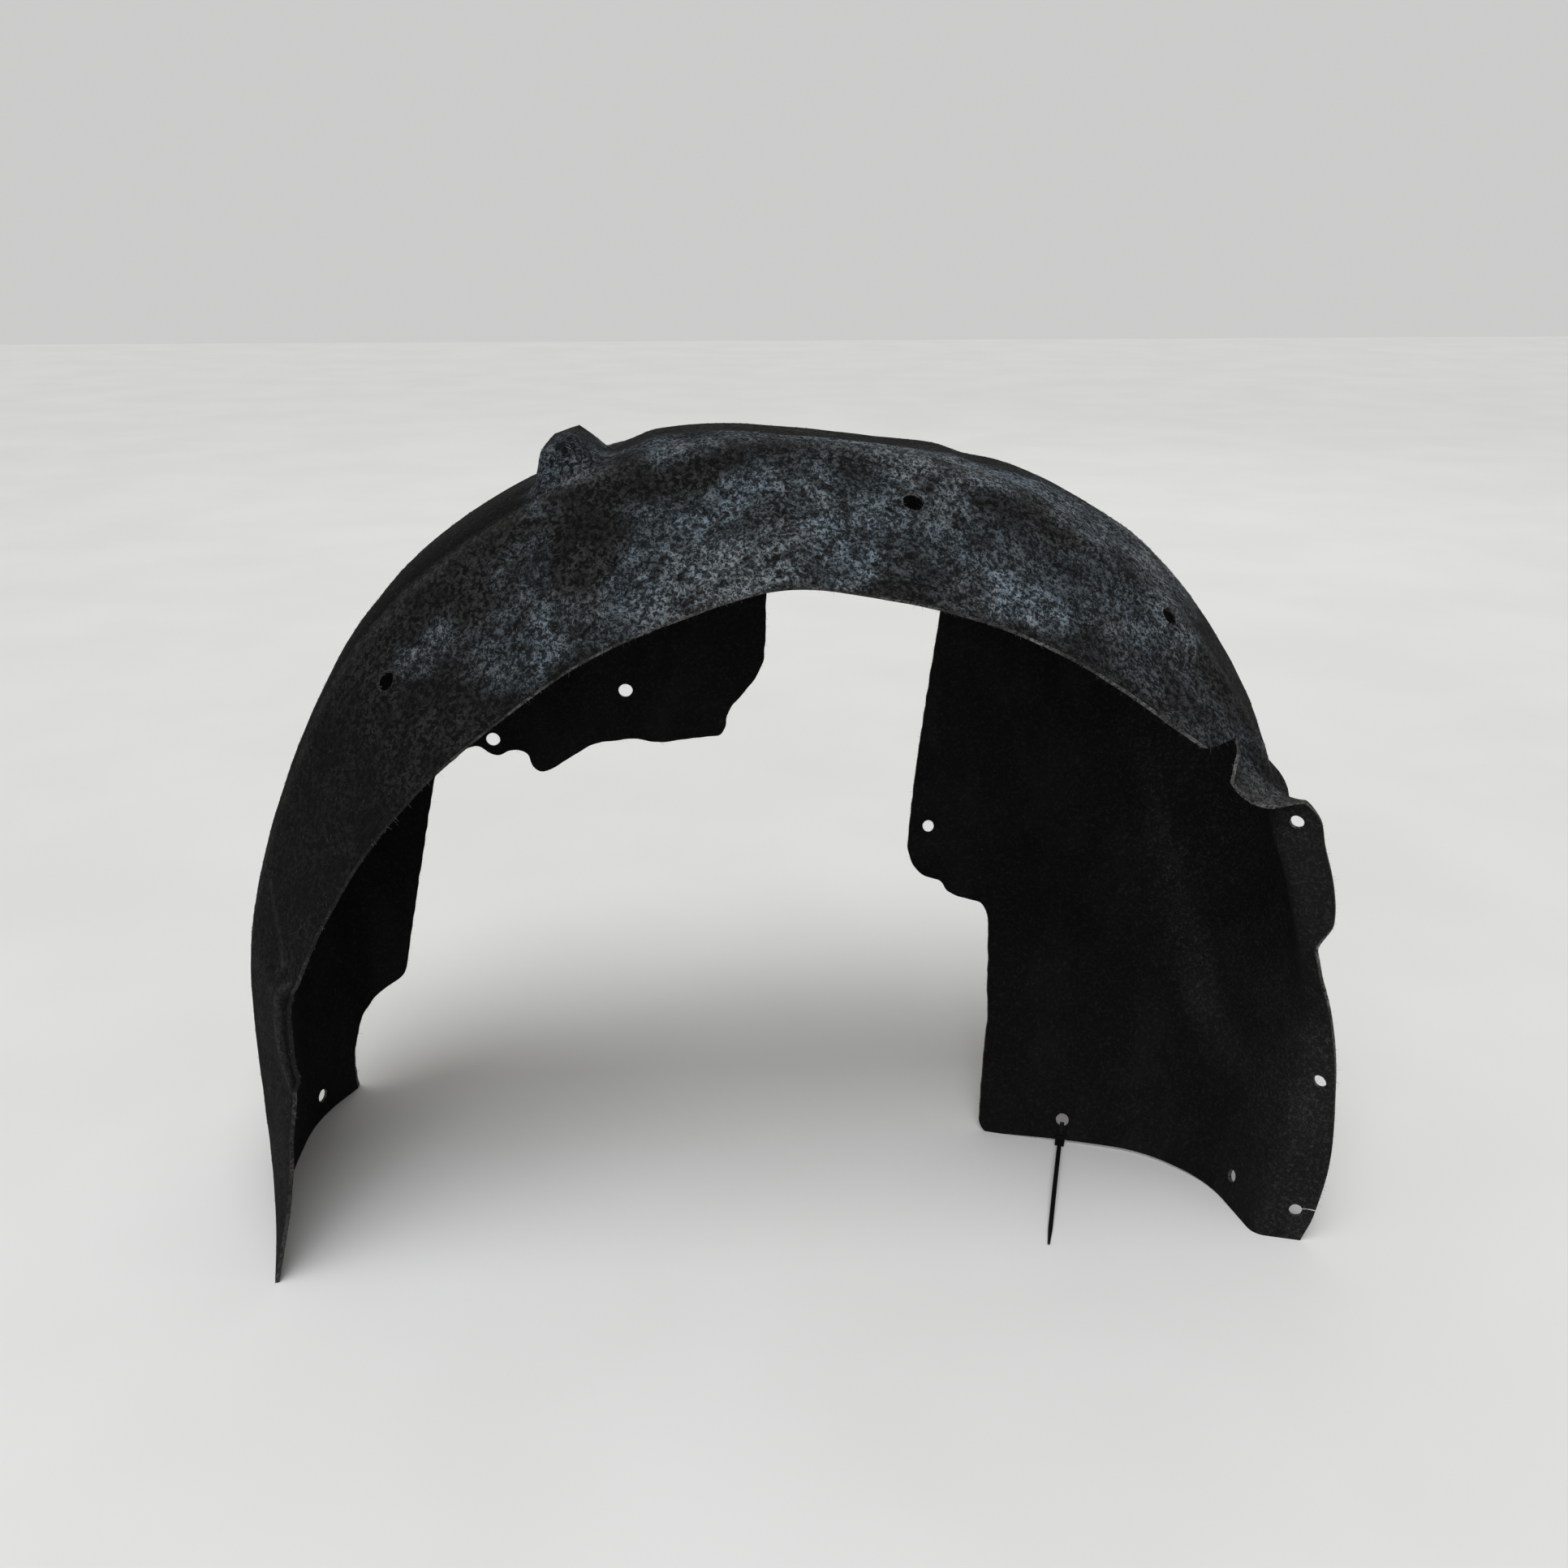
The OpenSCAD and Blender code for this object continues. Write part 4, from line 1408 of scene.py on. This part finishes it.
@dataclass
class LooseFibres:
    """Short fibres that stand out along the cut edges and lie on the outer face, in millimetres."""

    seed: int = 11
    edge_depth: float = 3.0
    edge_gap: float = 1.5
    edge_most: int = 40
    edge_width: float = 0.16
    edge_lengths: tuple[float, ...] = (0.8, 1.1, 1.4, 1.8, 2.4, 3.6)
    edge_spread: float = 0.55
    edge_curl: float = 0.45
    edge_wear: WearAndLight = (0.45, 0, 0, 1)
    skin_count: int = 15000
    skin_width: float = 0.30
    skin_lengths: Pair = (1.4, 3.6)
    skin_slopes: Pair = (0.04, 0.22)
    skin_curl: float = 0.25
    taper: float = 0.7
    floor_gap: float = 0.2

    def __post_init__(self) -> None:
        """Starts with no fibres."""
        self.dice = random.Random(self.seed)
        self.points: list[Vector] = []
        self.faces: list[tuple[int, ...]] = []
        self.tints: list[tuple[float, ...]] = []

    def put(self, at: Vector, way: Vector, length: float, width: float, curl: float,
            tint: Sequence[float]) -> None:
        """Adds one fibre as a thin curved ribbon.

        Args:
            at: Its root in metres.
            way: The direction in which it leaves.
            length: Its length in millimetres.
            width: Its width in millimetres.
            curl: How far it bends.
            tint: The four map numbers of the felt that it grows from.
        """
        bend = Vector([self.dice.uniform(-1, 1) for _ in range(3)])
        side = way.cross(bend)
        if side.length < 1e-6:
            side = way.orthogonal()
        side.normalize()
        base = len(self.points)
        for k in range(4):
            t = k / 3
            p = at + (way * t + bend * (curl * t * t)) * (length * MM)
            half = side * (width * MM * 0.5 * (1 - self.taper * t))
            self.points += [p - half, p + half]
        for p in self.points[base:]:
            p.z = max(p.z, self.floor_gap * MM)
        self.faces += [tuple(base + k for k in face) for face in ((0, 2, 3, 1), (2, 4, 5, 3), (4, 6, 7, 5))]
        self.tints.append(tuple(tint))

    def on_edge(self, mesh: bpy.types.Mesh, face: bpy.types.MeshPolygon) -> None:
        """Adds the fibres of one face of the cut edge.

        Args:
            mesh: The sheet's mesh.
            face: The face.
        """
        dice = self.dice
        count = face.area / (self.edge_depth * MM * self.edge_gap * MM)
        whole = int(count) + (1 if dice.random() < count % 1 else 0)
        corners = [mesh.vertices[v].co for v in face.vertices]
        for _ in range(min(whole, self.edge_most)):
            k = dice.randrange(len(corners))
            rim = corners[k].lerp(corners[(k + 1) % len(corners)], dice.random())
            way = (face.normal + Vector([dice.gauss(0, self.edge_spread) for _ in range(3)])).normalized()
            self.put(rim.lerp(face.center, dice.random() * 0.6), way, dice.choice(self.edge_lengths),
                     self.edge_width, self.edge_curl, self.edge_wear)

    def on_skin(self, mesh: bpy.types.Mesh, skin: Sequence[bpy.types.MeshPolygon]) -> None:
        """Scatters fibres over the outer face, most of them where it is pale.

        Args:
            mesh: The sheet's mesh.
            skin: The faces of the outer side.
        """
        dice = self.dice
        wear_and_light = mesh.color_attributes[WEAR_AND_LIGHT].data
        tints = [wear_and_light[face.loop_start].color for face in skin]
        weights = [face.area * (0.18 + tint[0]) for face, tint in zip(skin, tints)]
        for k in dice.choices(range(len(skin)), weights, k=self.skin_count):
            face = skin[k]
            flat = face.normal.cross(Vector([dice.gauss(0, 1) for _ in range(3)])).normalized()
            way = (flat + face.normal * dice.uniform(*self.skin_slopes)).normalized()
            root = face.center + flat * (dice.uniform(-1.5, 1.5) * MM) + face.normal * (0.1 * MM)
            self.put(root, way, dice.uniform(*self.skin_lengths), self.skin_width, self.skin_curl, tints[k])

    def build(self, sheet: bpy.types.Object, material: bpy.types.Material) -> bpy.types.Object:
        """All the fibres.

        Args:
            sheet: The finished sheet.
            material: Finish of the fibres.

        Returns:
            The object.
        """
        mesh = sheet.data
        for face in mesh.polygons:
            if face.material_index == Side.CUT.value:
                self.on_edge(mesh, face)
        self.on_skin(mesh, [face for face in mesh.polygons if face.material_index == Side.OUTER.value])
        made = mesh_of("loose_fibres", self.points, self.faces)
        made.materials.append(material)
        paint(made, [v for tint in self.tints for _ in range(12) for v in tint])
        return new_object("loose_fibres", made)


@dataclass
class CableTie:
    """The nylon tie through the hole of the right foot: loop, head and loose tail."""

    sheet: FeltSheet
    width: float = 3.6
    thickness: float = 1.2
    head: float = 6.4
    head_depth: float = 4.6
    gap: float = 0.3
    tail: float = 144.0
    tail_way: Triple = (-0.3, -1.0, 0.0)
    tail_shares: tuple[float, ...] = (0, 0.3, 0.6, 0.85, 1)
    tail_rises: tuple[float, ...] = (0, 4, 3, -1)
    tail_turns: tuple[float, ...] = (0, 8, 18, 26, 32)
    tail_rows: int = 210
    tip: float = 2.0
    tip_share: float = 0.86
    tip_height: float = 1.9
    tooth: float = 0.28
    toothed: Pair = (0.04, 0.8)
    head_edge: float = 0.7
    slot_rim: float = 1.2
    slot_depth: float = 1.6
    floor_gap: float = 0.1
    sharp_angle: float = 35.0

    def __post_init__(self) -> None:
        """Finds the tie's own frame at its hole."""
        form = self.sheet.form
        self.at = form.spot(self.sheet.tie)
        self.n = form.normal(self.sheet.tie)
        self.h = Vector((self.n.x, self.n.y, 0)).normalized()
        self.side = self.h.cross(Vector((0, 0, 1)))
        lean = self.n.dot(self.h)
        self.lean = -self.n.z / lean
        self.front = -form.thickness - self.gap
        self.high = form.thickness * abs(self.n.z) + self.gap \
            - math.sqrt(self.sheet.tie_hole ** 2 - self.width ** 2 / 4) * lean
        self.low = self.sheet.arch(self.at.x - self.sheet.arch_middle) - self.at.z - self.gap

    def beside(self, off: float, z: float) -> Pair:
        """A point beside the leaning sheet, as distance along h and height."""
        return self.lean * z + off / self.n.dot(self.h), z

    def point(self, along: float, z: float, across: float) -> Vector:
        """A point of the tie's own frame, in metres."""
        return self.sheet.form.metres(self.at + self.h * along + Vector((0, 0, z)) + self.side * across)

    def loop(self, shape: bmesh.types.BMesh) -> None:
        """Adds the loop through the hole and under the foot.

        Args:
            shape: The mesh that takes it.
        """
        inside = [Vector(self.beside(*q)) for q in ((self.front, self.low), (self.gap, self.low),
                                                    (self.gap, self.high), (self.front, self.high))]
        profile: list[tuple[Vector, Vector]] = []
        for i, corner in enumerate(inside):
            back = (corner - inside[i - 1]).normalized()
            ahead = (inside[(i + 1) % 4] - corner).normalized()
            first, second = Vector((back.y, -back.x)), Vector((ahead.y, -ahead.x))
            for k in range(7):
                profile.append((corner, first.lerp(second, k / 6).normalized()))
        rings = []
        for corner, out in profile:
            ring = []
            for off, wide in ((0.0, 0.5), (0.75, 0.5), (1.0, 0.42), (1.0, -0.42), (0.75, -0.5), (0.0, -0.5)):
                q = corner + out * (off * self.thickness)
                ring.append(shape.verts.new(self.point(q.x, q.y, wide * self.width)))
            rings.append(ring)
        for i, ring in enumerate(rings):
            after = rings[(i + 1) % len(rings)]
            for k in range(6):
                shape.faces.new((ring[k], after[k], after[(k + 1) % 6], ring[(k + 1) % 6]))

    def block(self, shape: bmesh.types.BMesh) -> None:
        """Adds the locking head with its slot.

        Args:
            shape: The mesh that takes it.
        """
        low, front = self.low - self.thickness, self.front - self.thickness / 2
        back = front - self.head_depth
        bits = bmesh.new()
        bmesh.ops.create_cube(bits, size=1.0)
        for v in bits.verts:
            off = front + (back - front) * (v.co.x + 0.5)
            z = low + self.head * (v.co.z + 0.5)
            v.co = self.point(*self.beside(off, z), v.co.y * self.head)
        bmesh.ops.bevel(bits, geom=bits.edges[:], offset=self.head_edge * MM, segments=3, profile=0.6,
                        affect="EDGES")
        slot = [f for f in bits.faces if f.calc_area() > 15e-6 and f.normal.dot(-self.h) > 0.8]
        if slot:
            bmesh.ops.inset_region(bits, faces=slot, thickness=self.slot_rim * MM, depth=0)
            bmesh.ops.inset_region(bits, faces=slot, thickness=0.12 * MM, depth=-self.slot_depth * MM)
        part = bpy.data.meshes.new("tie_head_part")
        bits.to_mesh(part)
        bits.free()
        shape.from_mesh(part)
        bpy.data.meshes.remove(part)

    def strap(self, shape: bmesh.types.BMesh) -> None:
        """Adds the loose tail, which twists, carries teeth and tapers to its tip.

        Args:
            shape: The mesh that takes it.
        """
        head_at = self.beside(self.front - self.thickness / 2 - self.head_depth / 2,
                              self.low - self.thickness + self.head / 2)
        start = self.at + self.h * head_at[0] + Vector((0, 0, head_at[1]))
        way = Vector(self.tail_way).normalized()
        across = Vector((-way.y, way.x, 0))
        lift = Curve(tuple(zip(self.tail_shares, (*self.tail_rises, self.tip_height - start.z))))
        turn = Curve(tuple(zip(self.tail_shares, self.tail_turns)))
        rings = []
        for k in range(self.tail_rows + 1):
            t = k / self.tail_rows
            middle = start + way * (self.tail * t) + Vector((0, 0, lift.at(t)))
            tilt = math.radians(turn.at(t))
            wide = across * math.cos(tilt) + Vector((0, 0, -math.sin(tilt)))
            flat = way.cross(wide).normalized()
            w = self.width + (self.tip - self.width) * rise((t - self.tip_share) / (1 - self.tip_share))
            tooth = self.tooth if self.toothed[0] < t < self.toothed[1] and k % 2 else 0.0
            half = self.thickness / 2
            ring = []
            for u, v in ((0.5, -0.6), (0.5, 0.6), (0.4, 1.0), (0.3, 1.0 - tooth), (-0.3, 1.0 - tooth),
                         (-0.4, 1.0), (-0.5, 0.6), (-0.5, -0.6), (-0.4, -1.0), (0.4, -1.0)):
                p = self.sheet.form.metres(middle + wide * (u * w) + flat * (v * half))
                p.z = max(p.z, self.floor_gap * MM)
                ring.append(shape.verts.new(p))
            rings.append(ring)
        for ring, after in zip(rings, rings[1:]):
            for k in range(10):
                shape.faces.new((ring[k], ring[(k + 1) % 10], after[(k + 1) % 10], after[k]))
        shape.faces.new(rings[-1])
        shape.faces.new(list(reversed(rings[0])))

    def build(self, material: bpy.types.Material) -> bpy.types.Object:
        """The finished tie.

        Args:
            material: Its finish.

        Returns:
            The object.
        """
        shape = bmesh.new()
        self.loop(shape)
        self.block(shape)
        self.strap(shape)
        bmesh.ops.recalc_face_normals(shape, faces=shape.faces)
        mesh = bpy.data.meshes.new("nylon_tie")
        shape.to_mesh(mesh)
        shape.free()
        mesh.materials.append(material)
        mesh.shade_smooth()
        mesh.set_sharp_from_angle(angle=math.radians(self.sharp_angle))
        return new_object("nylon_tie", mesh)


# Studio ---------------------------------------------------------------------------------------------


@dataclass(frozen=True)
class Lamp:
    """A soft square lamp: its place, aim and side in metres, and its power in watts."""

    name: str
    place: Triple
    aim: Triple
    side: float
    power: float
    colour: Colour

    def build(self) -> None:
        """Hangs the lamp."""
        data = bpy.data.lights.new(self.name, "AREA")
        data.shape = "SQUARE"
        data.size = self.side
        data.energy = self.power
        data.color = self.colour
        thing = new_object(self.name, data)
        thing.location = self.place
        thing.rotation_euler = (Vector(self.aim) - Vector(self.place)).to_track_quat("-Z", "Y").to_euler()


@dataclass(frozen=True)
class Sun:
    """A broad far light, so that the floor is lit evenly, with its direction from the object and its spread."""

    toward: Triple = (-0.06, -0.34, 1.0)
    spread: float = 42.0
    power: float = 2.15
    colour: Colour = (0.98, 0.99, 1.0)

    def build(self) -> None:
        """Sets the light."""
        data = bpy.data.lights.new("daylight", "SUN")
        data.energy = self.power
        data.angle = math.radians(self.spread)
        data.color = self.colour
        thing = new_object("daylight", data)
        thing.rotation_euler = Vector(self.toward).to_track_quat("Z", "Y").to_euler()


@dataclass
class Studio:
    """The floor, the soft light, the background and the camera."""

    floor_half: float = 9.0
    backdrop: Colour = (0.60, 0.605, 0.595)
    ambient: Colour = (1.0, 0.95, 0.89)
    ambient_strength: float = 0.36
    sun: Sun = Sun()
    lamps: tuple[Lamp, ...] = (
        Lamp("window", (-0.5, -2.3, 1.1), (0, 0, 0.35), 1.4, 20, (0.95, 0.98, 1.0)),
        Lamp("back", (0.9, 3.0, 3.0), (0, 0, 0.3), 3.0, 18, (0.97, 0.98, 1.0)))
    camera_place: Triple = (-0.0772, -1.1428, 0.7479)
    camera_pitch: float = 20.0
    camera_yaw: float = 4.0
    lens: float = 36.0
    sensor: float = 36.0
    nearest: float = 0.01

    def floor(self) -> None:
        """The plain pale floor."""
        a = self.floor_half
        corners = [Vector((x, y, 0)) for x, y in ((-a, -a), (a, -a), (a, a), (-a, a))]
        mesh = mesh_of("floor", corners, [(0, 1, 2, 3)])
        mesh.materials.append(PaleFloor().material())
        thing = new_object("floor", mesh)

    def world(self) -> None:
        """A pale background for the camera and for gloss, and a weaker even light for everything else."""
        world = bpy.data.worlds.new("studio")
        world.use_nodes = True
        bpy.context.scene.world = world
        g = Nodes(world.node_tree)
        rays = g.add("ShaderNodeLightPath").outputs
        direct, gloss, through = (Wire(g, rays[f"Is {kind} Ray"])
                                  for kind in ("Camera", "Glossy", "Transmission"))
        light = g.add("ShaderNodeBackground", {}, {
            "Color": (*self.ambient, 1), "Strength": self.ambient_strength})
        shown = g.add("ShaderNodeBackground", {}, {"Color": (*self.backdrop, 1)})
        mix = g.add("ShaderNodeMixShader", {}, {
            0: direct.most(gloss).most(through), 1: Wire(g, light.outputs[0]), 2: Wire(g, shown.outputs[0])})
        g.add("ShaderNodeOutputWorld", {}, {"Surface": Wire(g, mix.outputs[0])})

    def camera(self) -> None:
        """The camera at the photograph's viewing angle."""
        data = bpy.data.cameras.new("camera")
        data.lens = self.lens
        data.sensor_width = self.sensor
        data.sensor_height = self.sensor
        data.clip_start = self.nearest
        camera = new_object("camera", data)
        camera.location = self.camera_place
        camera.rotation_euler = (math.radians(90 - self.camera_pitch), 0, math.radians(-self.camera_yaw))
        bpy.context.scene.camera = camera

    def build(self) -> None:
        """Sets up everything round the object."""
        self.floor()
        self.world()
        self.sun.build()
        for lamp in self.lamps:
            lamp.build()
        self.camera()
        bpy.context.scene.view_settings.view_transform = "Standard"


def pale_patches() -> tuple[Patch, ...]:
    """Where the pale fibres show, from the left leg to the right shoulder.

    Returns:
        The patches.
    """
    band, shelf, tread = Stretch.BAND, Stretch.SHELF, Stretch.TREAD
    # Start and end, each as station, stretch and distance, then inner reach, outer reach and strength.
    lines = (
        (49, band, 72, 51, band, 80, 2, 25, 0.50), (52, band, 58, 58, band, 46, 4, 28, 0.12),
        (58, band, 44, 66, band, 28, 8, 32, 0.38), (59, band, 60, 62, band, 86, 8, 30, 0.28),
        (66, band, 24, 78, band, 24, 10, 37, 0.50), (78, band, 28, 92, band, 32, 16, 44, 0.72),
        (90, band, 48, 98, band, 60, 8, 46, 0.40), (76, band, 66, 90, band, 82, 10, 42, 0.56),
        (86, band, 90, 102, band, 86, 6, 38, 0.50), (97, band, 24, 105, band, 32, 8, 36, 0.16),
        (108, band, 32, 115, band, 32, 8, 35, 0.90), (104, band, 62, 124, band, 60, 20, 60, 0.24),
        (121, band, 54, 126, band, 78, 6, 34, 0.42), (127, band, 92, 129, band, 92, 8, 32, 0.56),
        (128, band, 40, 138, band, 34, 14, 48, 0.20), (143, band, 20, 149, band, 30, 12, 34, 0.14),
        (68, shelf, 20, 70, shelf, 40, 12, 40, 0.62), (69, tread, 20, 69, tread, 60, 10, 40, 0.50),
        (96, shelf, 20, 112, shelf, 40, 20, 70, 0.82), (112, shelf, 40, 126, shelf, 50, 20, 66, 0.76),
        (78, shelf, 26, 96, shelf, 20, 8, 44, 0.62))
    return tuple(Patch(Spot(*line[:3]), Spot(*line[3:6]), *line[6:]) for line in lines)


def report(piece: bpy.types.Object) -> None:
    """Logs one piece and its number of faces.

    Args:
        piece: The piece.
    """
    log.info("%s: %d faces", piece.name, len(piece.data.polygons))


def main() -> None:
    """Builds the object, the studio and the camera."""
    logging.basicConfig(level=logging.INFO, format="%(message)s")
    form = SheetForm()
    finishes = [OuterFelt().material(), InnerFelt().material(), CutFelt().material()]
    liner = FeltSheet(form)
    sheet = liner.build(finishes, WearAndLightMap(form, pale_patches()))
    fibres = LooseFibres().build(sheet, Fuzz().material())
    tie = CableTie(liner).build(BlackNylon().material())
    for piece, node, slot in ((sheet, "arch_liner", "felt"), (fibres, "arch_liner", "felt"),
                              (tie, "cable_tie", "tie")):
        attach(piece, "root")
        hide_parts(node)
        report(piece)
    Studio().build()


if __name__ == "__main__":
    main()
